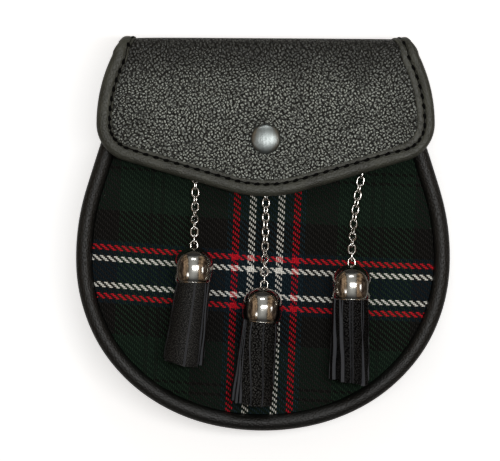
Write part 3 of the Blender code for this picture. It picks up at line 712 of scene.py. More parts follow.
@dataclass(frozen=True)
class SmoothLeather(Finish):
    """Smooth black leather with fine pores and a soft sheen.

    Attributes:
        colour: Its colour.
        worn: Colour where it is scuffed.
        gloss: Roughness.
        depth: Depth of the pores in metres.
        pore: Their size in mm.
    """

    colour: Colour = (0.03, 0.03, 0.026)
    worn: Colour = (0.06, 0.058, 0.05)
    gloss: float = 0.42
    depth: float = 0.05 * MM
    pore: float = 0.55

    def paint(self, sheet: NodeSheet, shader: bpy.types.Node) -> None:
        """Pores for relief, mottling and scuffs for colour and roughness."""
        surface, place = self.surface(sheet), self.place_mm(sheet)
        pores = PORES.place(sheet, vector=surface, pore_size=self.pore)
        dark = tuple(0.6 * c for c in self.colour)
        colour = sheet.blend(sheet.remap(pores["Mottle"], 0.3, 0.7), dark, self.colour)
        colour = sheet.blend(sheet.math("MULTIPLY", pores["Scuff"], 0.5), colour, self.worn)
        colour = self.shade(sheet, shader, surface, colour)
        lint = LINT.place(sheet, vector=place, amount=0.07)["Mask"]
        sheet.feed(shader.inputs["Base Color"], sheet.blend(lint, colour, (0.12, 0.115, 0.105)))
        rough = sheet.math("MULTIPLY_ADD", pores["Mottle"], 0.12, self.gloss - 0.06)
        sheet.feed(shader.inputs["Roughness"], sheet.math("MULTIPLY_ADD", pores["Height"], 0.06, rough))
        self.relief(sheet, shader, pores["Height"], self.depth)

    def shade(self, sheet: NodeSheet, shader: bpy.types.Node, surface: Socket, colour: Socket) -> Socket:
        """The colour as it is; a kind of smooth leather may paint shade on it in places."""
        return colour


@dataclass(frozen=True)
class BindingLeather(SmoothLeather):
    """Smooth leather, scuffed in places, that is near-black in the groove where it is sewn down, as painted shade.

    Attributes:
        groove: Distance across the section of the groove's middle, in mm.
        groove_half: Half width of the band of painted shade, in mm.
    """

    groove: float = 2.75
    groove_half: float = 0.6

    def shade(self, sheet: NodeSheet, shader: bpy.types.Node, surface: Socket, colour: Socket) -> Socket:
        """The colour, with painted shade towards the groove along a smooth S of the distance from it.

        The groove counts as a near-black metal, which takes its sheen, as the light that it traps.

        Args:
            sheet: The material's nodes.
            shader: Its Principled BSDF.
            surface: The piece's own map.
            colour: The leather's colour.

        Returns:
            The colour with its painted shade.
        """
        across = sheet.node("ShaderNodeSeparateXYZ", {0: surface}).outputs[1]
        away = sheet.math("ABSOLUTE", sheet.math("SUBTRACT", across, self.groove))
        inside = sheet.remap(away, 0.35 * self.groove_half, self.groove_half, 0.8, 0.0)
        sheet.feed(shader.inputs["Metallic"], inside)
        # near-black painted shade in the stitches' groove
        return sheet.blend(inside, colour, (0.001, 0.001, 0.001))


@dataclass(frozen=True)
class CutEdge(Finish):
    """The grey fibrous edge where leather was cut.

    Attributes:
        colour: Its colour.
    """

    colour: Colour = (0.06, 0.063, 0.07)

    def paint(self, sheet: NodeSheet, shader: bpy.types.Node) -> None:
        """Fibres as drawn-out noise, paler and darker."""
        place = self.place_mm(sheet)
        fibre = BRUSHING.place(sheet, vector=place, stretch=(3.0, 0.4, 3.0))
        dark = tuple(0.55 * c for c in self.colour)
        sheet.feed(shader.inputs["Base Color"], sheet.blend(fibre["Streak"], dark, self.colour))
        sheet.feed(shader.inputs["Roughness"], sheet.math("MULTIPLY_ADD", fibre["Cloud"], 0.2, 0.65))
        self.relief(sheet, shader, fibre["Streak"], 0.1 * MM)


@dataclass(frozen=True)
class Thread(Finish):
    """Waxed black thread.

    Attributes:
        colour: Its colour.
    """

    colour: Colour = (0.003, 0.003, 0.003)

    def paint(self, sheet: NodeSheet, shader: bpy.types.Node) -> None:
        """Twisted plies as slanted bands along the thread."""
        surface = self.surface(sheet)
        ply = sheet.node("ShaderNodeTexWave", {"Vector": surface, "Scale": 1.6, "Distortion": 1.0})
        ply.bands_direction = "DIAGONAL"
        pale = tuple(2.2 * c for c in self.colour)
        sheet.feed(shader.inputs["Base Color"], sheet.blend(ply.outputs[1], self.colour, pale))
        sheet.feed(shader.inputs["Roughness"], sheet.math("MULTIPLY_ADD", ply.outputs[1], 0.15, 0.8))
        self.relief(sheet, shader, ply.outputs[1], 0.12 * MM)


@dataclass(frozen=True)
class Metal(Finish):
    """Plated or satin metal with faint brushing and handling marks.

    Attributes:
        colour: Its colour.
        gloss: Roughness.
        streaks: How much the brushing adds to the roughness.
        depth: Depth of the brushing in metres.
        stretch: Direction of the brushing.
    """

    metallic: float = 1.0
    colour: Colour = (0.78, 0.76, 0.72)
    gloss: float = 0.08
    streaks: float = 0.06
    depth: float = 0.002 * MM
    stretch: tuple[float, float, float] = (7.0, 0.8, 7.0)

    def paint(self, sheet: NodeSheet, shader: bpy.types.Node) -> None:
        """Streaks for roughness and relief; the colour dulls a little in clouds."""
        marks = BRUSHING.place(sheet, vector=self.place_mm(sheet), stretch=self.stretch)
        dull = tuple(0.82 * c for c in self.colour)
        colour = sheet.blend(sheet.remap(marks["Cloud"], 0.35, 0.7), self.colour, dull)
        sheet.feed(shader.inputs["Base Color"], colour)
        sheet.feed(shader.inputs["Roughness"], sheet.math("MULTIPLY_ADD", marks["Streak"], self.streaks, self.gloss))
        self.relief(sheet, shader, marks["Streak"], self.depth)


class Yarn(Enum):
    """Colours of the tartan's wool. The warp's green, black and navy and the weft's fern, coal and ink are light and
    dark copies of one colour each, as painted light and shade that makes the twill's diagonals show.
    """

    GREEN = (0.026, 0.049, 0.031)
    MOSS = (0.023, 0.031, 0.023)
    BLACK = (0.027, 0.026, 0.024)
    NAVY = (0.023, 0.041, 0.052)
    RED = (0.64, 0.014, 0.03)
    IVORY = (0.97, 0.97, 0.90)
    FERN = (0.012, 0.021, 0.015)
    COAL = (0.011, 0.011, 0.010)
    INK = (0.010, 0.018, 0.025)
    SCARLET = (0.68, 0.014, 0.026)
    WHITE = (0.97, 0.97, 0.90)


@dataclass(frozen=True)
class TartanCloth(Finish):
    """Wool twill in a tartan that repeats to both sides of a pivot, the same in warp and weft.

    Attributes:
        warp: The sett's stripes from the pivot out: the yarn count where each starts, and its colour.
        weft: The same for the yarns that run across; its pivot is the middle of a yarn.
        reach: Yarn count at the end of the colour ramps.
        depth: Height of a yarn in metres.
        bleed: How much of the yarn below shows through the fuzz of a bright one above.
        painted_gap_shade: Painted shade between the yarns, as a share of the darker of the two.
    """

    bleed: float = 0.3
    painted_gap_shade: float = 0.5
    warp: tuple[tuple[float, Yarn], ...] = (
        (0, Yarn.NAVY), (6, Yarn.IVORY), (10, Yarn.NAVY), (15, Yarn.RED), (19, Yarn.NAVY), (22, Yarn.BLACK),
        (40, Yarn.GREEN), (58, Yarn.MOSS), (60, Yarn.GREEN), (64, Yarn.MOSS), (66, Yarn.GREEN), (83, Yarn.BLACK),
    )
    weft: tuple[tuple[float, Yarn], ...] = (
        (0, Yarn.INK), (7.5, Yarn.WHITE), (11.5, Yarn.INK), (15.5, Yarn.SCARLET), (19.5, Yarn.INK), (22.5, Yarn.COAL),
        (44.5, Yarn.FERN), (74.5, Yarn.COAL), (76.5, Yarn.FERN), (81.5, Yarn.COAL), (83.5, Yarn.FERN),
    )
    reach: float = 160.0
    depth: float = 0.28 * MM

    def stripes(self, sheet: NodeSheet, count: Socket, sett: tuple[tuple[float, Yarn], ...]) -> Socket:
        """Colour of a yarn by its count from the pivot, on a ramp of plain steps.

        Args:
            sheet: The material's nodes.
            count: The yarn's count.
            sett: The stripes from the pivot out.

        Returns:
            The yarn's colour.
        """
        share = sheet.math("DIVIDE", sheet.math("ABSOLUTE", count), self.reach)
        ramp = sheet.node("ShaderNodeValToRGB", {0: share})
        ramp.color_ramp.interpolation = "CONSTANT"
        for number, (start, yarn) in enumerate(sett):
            elements = ramp.color_ramp.elements
            stop = elements[number] if number < 2 else elements.new(start / self.reach)
            stop.position, stop.color = start / self.reach, (*yarn.value, 1.0)
        return ramp.outputs[0]

    def paint(self, sheet: NodeSheet, shader: bpy.types.Node) -> None:
        """The map holds warp and weft counts; the twill picks which yarn shows, and its height paints shade on it,
        darkest between the yarns.
        """
        parts = sheet.node("ShaderNodeSeparateXYZ", {0: self.surface(sheet)})
        place = self.place_mm(sheet)
        sway = sheet.noise(place, 0.5, 2.0)
        nudge = sheet.node("ShaderNodeSeparateColor", {0: sway.outputs["Color"]})
        u = sheet.math("ADD", parts.outputs[0], sheet.math("MULTIPLY_ADD", nudge.outputs[0], 0.5, -0.25))
        v = sheet.math("ADD", parts.outputs[1], sheet.math("MULTIPLY_ADD", nudge.outputs[1], 0.5, -0.25))
        weave = TWILL.place(sheet, warp_place=u, weft_place=v)
        warp = self.stripes(sheet, sheet.math("ADD", sheet.math("FLOOR", u), 0.5), self.warp)
        weft = self.stripes(sheet, sheet.math("FLOOR", v), self.weft)
        over = sheet.blend(weave["Warp shows"], weft, warp)
        under = sheet.blend(weave["Warp shows"], warp, weft)
        bright = sheet.node("ShaderNodeSeparateColor", {0: over}).outputs[0]
        # painted shade between the yarns and down the sides of each float, where the height is low
        painted_gap_shade = sheet.vector("SCALE", sheet.vector("MINIMUM", over, under), self.painted_gap_shade)
        mixed = sheet.vector("SCALE", under, sheet.math("MULTIPLY", bright, self.bleed))
        colour = sheet.blend(sheet.remap(weave["Height"], 0.0, 0.75), painted_gap_shade, sheet.vector("ADD", over, mixed))
        fuzz = sheet.noise(place, 3.2, 3.0, 0.7).outputs[0]
        tone = sheet.remap(fuzz, 0.2, 0.8, 0.5, 1.45)
        tint = sheet.node("ShaderNodeCombineColor", {0: tone, 1: tone, 2: tone}).outputs[0]
        colour = sheet.blend(1.0, colour, tint, "MULTIPLY")
        lint = LINT.place(sheet, vector=place, amount=0.2)["Mask"]
        sheet.feed(shader.inputs["Base Color"], sheet.blend(lint, colour, (0.12, 0.12, 0.11)))
        sheet.feed(shader.inputs["Roughness"], sheet.math("MULTIPLY_ADD", fuzz, 0.15, 0.8))
        height = sheet.math("MULTIPLY_ADD", fuzz, 0.3, weave["Height"])
        self.relief(sheet, shader, height, self.depth)


@dataclass(frozen=True)
class PlainFloor(Finish):
    """A pale matt studio floor.

    Attributes:
        colour: Its colour.
        lift: Light that it adds where the camera sees it.
        room: Colour of the dim room past the paper, which only reflections show.
        paper: Distances from the middle over which the paper ends, in mm.
    """

    colour: Colour = (0.9, 0.9, 0.9)
    lift: Colour = (0.6, 0.6, 0.6)
    room: Colour = (0.08, 0.065, 0.05)
    paper: tuple[float, float] = (190.0, 260.0)

    def paint(self, sheet: NodeSheet, shader: bpy.types.Node) -> None:
        """A sheet of paper with the faintest mottling, lifted to white where it is seen directly."""
        place = self.place_mm(sheet)
        tone = sheet.noise(place, 0.01, 2.0).outputs[0]
        paper = sheet.blend(tone, self.colour, tuple(0.985 * c for c in self.colour))
        away = sheet.node("ShaderNodeVectorMath", {0: place}, operation="LENGTH").outputs["Value"]
        beyond = sheet.blend(sheet.remap(away, *self.paper), paper, self.room)
        seen = sheet.node("ShaderNodeLightPath").outputs["Is Camera Ray"]
        sheet.feed(shader.inputs["Base Color"], sheet.blend(seen, beyond, paper))
        sheet.feed(shader.inputs["Roughness"], 0.9)
        sheet.feed(shader.inputs["Emission Color"], sheet.blend(seen, (0.0, 0.0, 0.0), self.lift))
        shader.inputs["Emission Strength"].default_value = 1.0


FLAP_LEATHER = GrainedLeather("flap_leather", top=(0.152, 0.166, 0.15), crease=(0.006, 0.0065, 0.005), cell=1.6, depth=0.46 * MM, gloss=0.24, trapped=0.6, specular=0.85, fold_shade_run=(57.0, 82.0))
BACK_LEATHER = GrainedLeather("back_leather", top=(0.012, 0.012, 0.011), cell=1.1, depth=0.12 * MM, gloss=0.48)
STRIP_LEATHER = GrainedLeather("strip_leather_matt", top=(0.006, 0.006, 0.006), crease=(0.001, 0.001, 0.001), cell=1.15, depth=0.3 * MM, gloss=0.42, trapped=0.85, specular=0.3)
STRIP_FINE = GrainedLeather("strip_leather_fine", top=(0.012, 0.012, 0.011), crease=(0.003, 0.003, 0.003), cell=0.95, depth=0.12 * MM, gloss=0.42, trapped=0.5, specular=0.4)
STRIP_COARSE = GrainedLeather("strip_leather_coarse", top=(0.012, 0.012, 0.011), crease=(0.001, 0.001, 0.001), cell=1.35, depth=0.45 * MM, gloss=0.32, trapped=0.85)
EDGING_LEATHER = BindingLeather("edging_leather", colour=(0.068, 0.071, 0.056), worn=(0.14, 0.142, 0.114), gloss=0.4, depth=0.4 * MM, pore=1.3)
STRAP_LEATHER = SmoothLeather("strap_leather", colour=(0.016, 0.016, 0.014), worn=(0.04, 0.039, 0.034), gloss=0.44)
ROLL_LEATHER = SmoothLeather("roll_leather", colour=(0.006, 0.006, 0.005), worn=(0.02, 0.02, 0.018), gloss=0.42, depth=0.34 * MM, pore=1.35)
LINING = SmoothLeather("lining_leather", colour=(0.008, 0.008, 0.008), gloss=0.6)
STRIP_EDGE = CutEdge("strip_edge", colour=(0.056, 0.06, 0.07))
STITCHING = Thread("stitching_thread", specular=0.05)
CAP_CHROME = Metal("cap_chrome", colour=(0.60, 0.58, 0.54), gloss=0.12, streaks=0.04, depth=0.0004 * MM)
CHAIN_STEEL = Metal("chain_steel", colour=(0.84, 0.83, 0.80), gloss=0.16, streaks=0.08)
SNAP_PEWTER = Metal("snap_pewter", colour=(0.29, 0.315, 0.31), gloss=0.28, streaks=0.14, depth=0.09 * MM, stretch=(1.7, 0.2, 1.0))
TARTAN = TartanCloth("tartan_wool", specular=0.02)
FLOOR = PlainFloor("studio_floor")


class Slot(Enum):
    """The record's material slots."""

    SMOOTH = "smooth_leather"
    GRAINED = "grained_leather"
    STRIP = "strip_leather"
    CLOTH = "tartan_cloth"
    CHROME = "chrome"
    PEWTER = "pewter"


# ---------------------------------------------------------------- pouch


@dataclass(frozen=True)
class Outline:
    """The pouch seen from the front: straight upper sides, an arc that turns them upright, and a rounded bottom.

    Attributes:
        half_width: At the widest point.
        bottom_y: Lowest point.
        widest_y: Height of the widest point.
        roundness: Exponent of the superellipse below it.
        arc_radius: Of the arc above it.
        slope: How far the upper sides lean in.
    """

    half_width: float = 95.0 * MM
    bottom_y: float = -100.0 * MM
    widest_y: float = -11.9 * MM
    roundness: float = 2.09
    arc_radius: float = 119.0 * MM
    slope: float = math.radians(17.5)

    def stations(self, top_y: float, inset: float, count: int) -> tuple[Array, Array]:
        """Places round the outline, from the top left round the bottom to the top right.

        The side is a line, then an arc about a centre at half width less arc radius, then the superellipse
        x = half width times cos(a) to the power 2/n, y = widest y less the height times sin(a) to the power 2/n.

        Args:
            top_y: Where the sides start.
            inset: How far inside the outline.
            count: How many places.

        Returns:
            The places and the outward normals, as (count, 2) each.
        """
        turns = np.linspace(self.slope, 0.0, 60)
        facing = np.stack([np.cos(turns), np.sin(turns)], 1)
        arc = np.array([self.half_width - self.arc_radius, self.widest_y]) + self.arc_radius * facing
        top = arc[0] + (top_y - arc[0, 1]) * np.array([-math.tan(self.slope), 1.0])
        angles = np.linspace(0.0, np.pi / 2, 240)[1:]
        across, down = np.clip(np.cos(angles), 0, 1), np.sin(angles)
        height, power = self.widest_y - self.bottom_y, 2 / self.roundness
        bowl = np.stack([self.half_width * across**power, self.widest_y - height * down**power], 1)
        bowl[-1, 0] = 0.0
        slopes = np.stack([across ** (2 - power) / self.half_width, -(down ** (2 - power)) / height], 1)
        right = np.vstack([top, arc, bowl])
        normals = np.vstack([facing[:1], facing, unit(slopes)])
        right = right - inset * normals
        flip = np.array([-1.0, 1.0])
        whole, ways = np.vstack([right[:-1] * flip, right[::-1]]), np.vstack([normals[:-1] * flip, normals[::-1]])
        points, ways = evenly(whole, count, ways)
        return points, unit(ways)


OUTLINE = Outline()


def upright(count: int) -> Array:
    """The upward direction, once a row."""
    return np.tile([0.0, 0.0, 1.0], (count, 1))


def flat(vectors: Array, height: Array | float = 0.0) -> Array:
    """Plan points or directions with a height added."""
    return np.column_stack([vectors, np.broadcast_to(height, len(vectors))])


@dataclass
class Pouch:
    """The body: two edge rolls, the gusset between them, the back panel and the tartan front.

    Attributes:
        roll_radius: Of both edge rolls.
        back_roll_z: Middle of the back roll, which stands on a flat foot.
        front_roll_z: Middle of the front roll.
        back_roll_top: Where the back roll ends above.
        mouth_y: Top of the panels and the front roll.
        back_panel_z: Outer and inner face of the back panel.
        front_edge_z: Height of the cloth's edge.
        front_rise: How far the padding lifts its middle.
        front_thickness: Cloth, padding and board together.
        dome: Half axes of the padding.
        dome_y: Its middle.
        tuck: How far the cloth dips at its edge, beside the roll.
        gusset_thickness: Of the gusset's leather.
        gusset_bow: How far it folds in.
        warp_pitch: Width of a warp yarn.
        weft_pitch: Width of a weft yarn.
        sett_pivot: Where the tartan's middle stripes cross, in mm.
        warp_lean: Slope of the upright stripes.
    """

    roll_radius: float = 4.1 * MM
    back_roll_z: float = 3.8 * MM
    front_roll_z: float = 33.9 * MM
    back_roll_top: float = 73.0 * MM
    mouth_y: float = 89.0 * MM
    back_panel_z: tuple[float, float] = (6.3 * MM, 8.3 * MM)
    front_edge_z: float = 34.9 * MM
    front_rise: float = 2.1 * MM
    front_thickness: float = 2.6 * MM
    dome: tuple[float, float] = (87.0 * MM, 95.0 * MM)
    dome_y: float = -5.0 * MM
    tuck: float = 0.7 * MM
    gusset_thickness: float = 1.8 * MM
    gusset_bow: float = 2.5 * MM
    warp_pitch: float = 0.903
    weft_pitch: float = 0.705
    sett_pivot: tuple[float, float] = (1.42, -5.71)
    warp_lean: float = 0.0418
    pieces: list[bpy.types.Object] = field(default_factory=list)

    def panel_height(self, x: Array, y: Array) -> Array:
        """Height of the cloth: its edge's height, plus the rise times one less both squared shares of the dome."""
        share = 1 - (x / self.dome[0]) ** 2 - ((y - self.dome_y) / self.dome[1]) ** 2
        return self.front_edge_z + self.front_rise * np.maximum(0.0, share)

    def roll(self, centre_z: float, top_y: float, seed: int, stations: int = 420, sides: int = 32) -> Shape:
        """A round edge roll: a circle carried round the outline, held above the floor, with rounded ends.

        Its radius wavers by a few hundredths, and short creases cross its inner side where the leather gathers.

        Args:
            centre_z: Height of its middle.
            top_y: Where it starts and ends.
            seed: Picks the unevenness.
            stations: Rings along it.
            sides: Points round it.

        Returns:
            The roll.
        """
        points, normals = OUTLINE.stations(top_y, self.roll_radius, stations)
        along = travel(points)
        ends = np.minimum(along, along[-1] - along) / self.roll_radius
        cap = np.sqrt(np.clip(1 - (1 - np.clip(ends, 0.02, 1)) ** 2, 0, 1))
        slow = ripple(along, (31 * MM, 47 * MM, 83 * MM), seed)
        creases = ripple(along, (2.9 * MM, 4.3 * MM, 7.1 * MM), seed + 1) * (0.5 + 0.5 * slow)
        turns = np.arange(sides) * 2 * np.pi / sides
        inner = np.clip(-np.cos(turns), 0, 1) ** 1.5
        swell = 0.985 + 0.013 * slow[:, None] - 0.018 * np.abs(creases)[:, None] * inner
        ring = circle(sides)[None] * (self.roll_radius * swell * cap[:, None])[..., None]
        rings = carried(ring, flat(points, centre_z), flat(normals), upright(stations))
        rings[..., 2] = np.maximum(rings[..., 2], 0.0)
        return skin(rings).outward()

    def gusset(self, stations: int = 420, rows: int = 14) -> Shape:
        """The band between the rolls, which folds inwards at half depth by the bow times sin(pi t)."""
        low = self.back_roll_z + self.roll_radius + 0.5 * GAP
        high = self.front_roll_z - self.roll_radius - 0.5 * GAP
        shares = np.linspace(0.0, 1.0, rows)
        points, normals = OUTLINE.stations(self.mouth_y, 0.0, stations)
        along = travel(points)
        sag = 0.35 * MM * ripple(along, (23 * MM, 37 * MM, 61 * MM), 5)[:, None] * np.sin(np.pi * shares)
        outer = self.roll_radius - self.gusset_thickness / 2 + self.gusset_bow * np.sin(np.pi * shares) + sag
        insets = np.concatenate([outer, outer[:, ::-1] + self.gusset_thickness], 1)
        heights = low + (high - low) * np.concatenate([shares, shares[::-1]])
        ring = np.stack([-insets, np.broadcast_to(heights, insets.shape)], 2)
        return skin(carried(ring, flat(points), flat(normals), upright(stations))).outward()

    def panel_loop(self, top_y: float, inset: float, round_count: int, top_count: int) -> Array:
        """A panel's closed edge: the outline, then the straight line back along the top."""
        points, _ = OUTLINE.stations(top_y, inset, round_count)
        shares = np.linspace(0.0, 1.0, top_count + 2)[1:-1, None]
        return np.vstack([points, points[-1] + shares * (points[0] - points[-1])])

    def tartan_counts(self, x: Array, y: Array) -> Array:
        """Warp and weft counts of a place on the front, which are the cloth's map.

        The warp count is the distance across from a line that leans by a fixed slope; the weft count is the
        distance up from a curve that falls to the right, steeper at the left.

        Args:
            x: Places across, in metres.
            y: Places up, in metres.

        Returns:
            The counts, as (..., 2).
        """
        x, y = x / MM, y / MM
        warp = (x - self.sett_pivot[0] - self.warp_lean * (y - self.sett_pivot[1])) / self.warp_pitch
        t = x / 86.2
        line = -25.0 - 5.28 * t + 1.17 * t**2
        return np.stack([warp, (y - line) / self.weft_pitch + 0.5], -1)

    def front(self, around: int = 300, top: int = 60, rings: int = 44) -> Shape:
        """The cloth over its padding and board: rings that shrink from the edge to the middle, on both faces.

        Args:
            around: Places round the outline.
            top: Places along the top edge.
            rings: Rings on the outer face.

        Returns:
            The closed panel; its board has finish 1.
        """
        loop = self.panel_loop(self.mouth_y - 1.0 * MM, 2 * self.roll_radius + 0.2 * MM, around, top)
        middle = np.array([0.0, self.dome_y])
        share = 1 - np.linspace(0.0, 1.0, rings) ** 1.35
        share[-1] = 0.012
        outer = middle + share[:, None, None] * (loop - middle)
        x, y = outer[..., 0], outer[..., 1]
        edge = (1 - share)[:, None] * np.linalg.norm(loop - middle, axis=1)[None]
        dip = self.tuck * (1 - smoothstep(edge / (3.0 * MM)))
        wave = 0.12 * MM * ripple(x + 0.6 * y, (27 * MM, 41 * MM), 8) * ripple(y - 0.4 * x, (33 * MM, 52 * MM), 9)
        top_face = np.dstack([x, y, self.panel_height(x, y) - dip + wave * smoothstep(edge / (12 * MM))])
        below = middle + np.linspace(1.0, 0.012, 12)[:, None, None] * (loop - middle)
        bx, by = below[..., 0], below[..., 1]
        under = np.dstack([bx, by, self.panel_height(bx, by) - self.front_thickness])
        cloth = skin(top_face[::-1], capped=True, surface=self.tartan_counts(x, y)[::-1])
        wall = skin(np.stack([top_face[0], under[0]]), capped=False, surface=self.tartan_counts(np.stack([x[0], bx[0]]), np.stack([y[0], by[0] - 2 * MM])))
        board = skin(under, capped=True, surface=np.dstack([bx, by]) / MM, finish=1)
        cloth.faces, cloth.maps, cloth.finishes = [cloth.faces[0], cloth.faces[1][:1]], [cloth.maps[0], self.tartan_counts(*cloth.points[cloth.faces[1][:1]][..., :2].transpose(2, 0, 1))], [0, 0]
        board.faces, board.maps, board.finishes = [board.faces[0], board.faces[1][1:]], [board.maps[0], board.maps[1][1:]], [1, 1]
        return welded(joined([cloth, wall, board])).outward()

    def back(self, around: int = 260, top: int = 60) -> Shape:
        """The flat back: rings that shrink to the middle on both faces, with a rounded edge between."""
        loop = self.panel_loop(self.mouth_y, 2 * self.roll_radius - 0.2 * MM, around, top)
        middle = np.array([0.0, self.dome_y])
        low, high = self.back_panel_z
        bend = np.linspace(-np.pi / 2, np.pi / 2, 7)
        radius = (high - low) / 2
        length = np.linalg.norm(loop - middle, axis=1)
        shares = np.concatenate([np.linspace(0.02, 0.97, 14)[:, None] * np.ones(len(loop)), 1 - radius * (1 - np.cos(bend))[:, None] / length, np.linspace(0.97, 0.02, 14)[:, None] * np.ones(len(loop))])
        heights = np.concatenate([np.full(14, low), low + radius * (1 + np.sin(bend)), np.full(14, high)])
        rings = middle + shares[..., None] * (loop - middle)
        rings = np.dstack([rings, np.broadcast_to(heights[:, None], shares.shape)])
        return skin(rings, surface=rings[..., :2] / MM).outward()

    def build(self) -> None:
        """Make and dress the body's pieces."""
        rolls, lining = ROLL_LEATHER.material(), LINING.material()
        make_piece("back_leather", self.back(), [BACK_LEATHER.material()], ["back_panel"])
        make_piece("back_roll", self.roll(self.back_roll_z, self.back_roll_top, 3), [rolls], ["back_binding"])
        make_piece("gusset_band", self.gusset(), [rolls], ["gusset"])
        make_piece("front_roll", self.roll(self.front_roll_z, self.mouth_y, 1), [rolls], ["front_binding"])
        cloth = make_piece("tartan_front", self.front(), [TARTAN.material(), lining], ["front_panel"])


def welded(shape: Shape) -> Shape:
    """The same shape with points that coincide made one, so that its faces close."""
    keys = np.round(shape.points / (0.001 * MM)).astype(np.int64)
    _, first, inverse = np.unique(keys, axis=0, return_index=True, return_inverse=True)
    return Shape(shape.points[first], [inverse.ravel()[block] for block in shape.faces], shape.maps, shape.finishes)


# ---------------------------------------------------------------- flap


@dataclass
class Flap:
    """The flap's sheet, the binding folded over its edge, and the stitches along it.

    Attributes:
        thickness: Of the sheet.
        half_width: Of the leaf at its widest.
        tip_y: Lowest point of the leaf.
        tip_radius: Of the rounded tip.
        chevron: Slope of the lower edge.
        corner_radius: Of the lower corners.
        side_radius: Of the long side arcs.
        spine_half_width: Of the spine and the tail.
        fold_radius: Of both folds.
        fold_y: Where the folds meet the tail and the leaf.
        tail_end: Where the tail ends on the back.
        tail_z: Height of the tail's middle.
        leaf_z: Height of the leaf's middle at the fold.
        lift: How far the leaf lifts towards its middle.
        lift_run: Over what run it lifts.
        lift_half_width: Half width over which the lift falls to nothing.
        sheet_inset: From the edge of the binding to the sheet's edge.
        aside: How far the leaf sits to the right of the pouch's middle.
        snap_y: Height of the press stud, in the leaf's middle.
        snap_dent: How far the stud pulls the leather in.
        bulge: How far the spine bulges.
    """

    thickness: float = 2.2 * MM
    half_width: float = 85.7 * MM
    tip_y: float = 18.9 * MM
    tip_radius: float = 67.0 * MM
    chevron: float = math.radians(16.3)
    corner_radius: float = 19.5 * MM
    side_radius: float = 79.0 * MM
    spine_half_width: float = 73.5 * MM
    fold_radius: float = 6.5 * MM
    fold_y: float = 90.7 * MM
    tail_end: float = 74.0 * MM
    tail_z: float = 4.9 * MM
    leaf_z: float = 41.0 * MM
    lift: float = 4.0 * MM
    lift_run: float = 32.0 * MM
    lift_half_width: float = 90.0 * MM
    sheet_inset: float = 2.4 * MM
    aside: float = 1.3 * MM
    snap_y: float = 47.9 * MM
    snap_dent: float = 0.45 * MM
    bulge: float = 1.0 * MM

    @property
    def runs(self) -> tuple[float, float, float, float]:
        """Runs where the lower fold, the spine, the upper fold and the leaf start."""
        tail, fold = self.fold_y - self.tail_end, self.fold_radius * math.pi / 2
        spine = self.leaf_z - self.tail_z - 2 * self.fold_radius
        return tail, tail + fold, tail + fold + spine, tail + 2 * fold + spine

    def surface(self, x: Array, run: Array) -> Array:
        """Middle of the sheet at a place across it and a run along it from the tail's end.

        The run goes along the tail, round the lower fold (sine and one less cosine of the turn), up the spine,
        round the upper fold and down the leaf, whose height adds the lift times a smooth S of the run times
        one less the squared share across, and a dent round the press stud. From the tail to the leaf it moves
        aside along a smooth S. The spine bulges, more at the left.

        Args:
            x: Places across, from the sheet's own middle.
            run: Runs along.

        Returns:
            Points as (..., 3).
        """
        x, run = np.broadcast_arrays(x, run)
        fold, spine, top, leaf = self.runs
        radius = self.fold_radius
        low = np.clip((run - fold) / radius, 0, np.pi / 2)
        high = np.clip((run - top) / radius, 0, np.pi / 2)
        down = np.maximum(run - leaf, 0)
        y = self.tail_end + np.clip(run, None, fold) + radius * np.sin(low) - radius * (1 - np.cos(high)) - down
        z = self.tail_z + radius * (1 - np.cos(low)) + np.clip(run - spine, 0, top - spine) + radius * np.sin(high)
        away = np.hypot(x, y - self.snap_y)
        dent = np.exp(-((away / (8.5 * MM)) ** 4)) - 0.35 * np.exp(-(((away - 12 * MM) / (4.5 * MM)) ** 2))
        settle = 0.22 * MM * ripple(x, (53 * MM, 71 * MM), 21) * ripple(down, (38 * MM, 61 * MM), 22)
        on_leaf = smoothstep(down / (14 * MM))
        z = z + self.lift * smoothstep(down / self.lift_run) * (1 - (x / self.lift_half_width) ** 2)
        within = np.clip(x / self.spine_half_width, -1.0, 1.0)
        y = y + self.bulge * (1 - 0.45 * within) * np.sqrt(1 - within**8) * np.sin(low + high) ** 2
        place = x + self.aside * smoothstep((run - fold) / (leaf - fold))
        return np.stack([place, y, z + on_leaf * (settle - self.snap_dent * dent)], -1)

    def normal(self, x: Array, run: Array) -> Array:
        """Direction out of the sheet: the cross product of small steps along it and across it."""
        step = 0.05 * MM
        along = self.surface(x, run + step) - self.surface(x, run - step)
        across = self.surface(x + step, run) - self.surface(x - step, run)
        return unit(np.cross(along, across))

    def leaf_edge(self) -> tuple[Array, Array]:
        """Right edge of the leaf from fold to tip, as (x, run), with outward normals.

        A long arc runs down the side, a corner arc turns under it, and a straight chevron meets the tip's arc.
        """
        tip_centre = self.tip_y + self.tip_radius
        tangent_x = self.tip_radius * math.sin(self.chevron)
        tangent_y = tip_centre - self.tip_radius * math.cos(self.chevron)
        corner_x = self.half_width - self.corner_radius
        line_y = tangent_y + (corner_x - tangent_x) * math.tan(self.chevron)
        corner_y = line_y + self.corner_radius / math.cos(self.chevron)
        side_x = self.half_width - self.side_radius
        side_top = math.asin((self.fold_y - corner_y) / self.side_radius)
        under = self.chevron - math.pi / 2
        arcs = (
            (side_x, corner_y, self.side_radius, np.linspace(side_top, 0.0, 60)),
            (corner_x, corner_y, self.corner_radius, np.linspace(0.0, under, 40)[1:]),
            (0.0, tip_centre, self.tip_radius, np.linspace(under, -math.pi / 2, 30)),
        )
        facing = [np.stack([np.cos(turns), np.sin(turns)], 1) for *_, turns in arcs]
        places = [np.array([cx, cy]) + radius * way for (cx, cy, radius, _), way in zip(arcs, facing)]
        points, normals = np.vstack(places), np.vstack(facing)
        points[:, 1] = self.runs[3] + self.fold_y - points[:, 1]
        normals[:, 1] *= -1
        return points, normals

    def half_at(self, run: Array) -> Array:
        """Half width behind the leaf, which blends to the spine's width along a smooth S."""
        edge, _ = self.leaf_edge()
        beyond = (self.runs[3] - run) / (self.fold_radius * math.pi / 2)
        return edge[0, 0] + (self.spine_half_width - edge[0, 0]) * smoothstep(beyond)

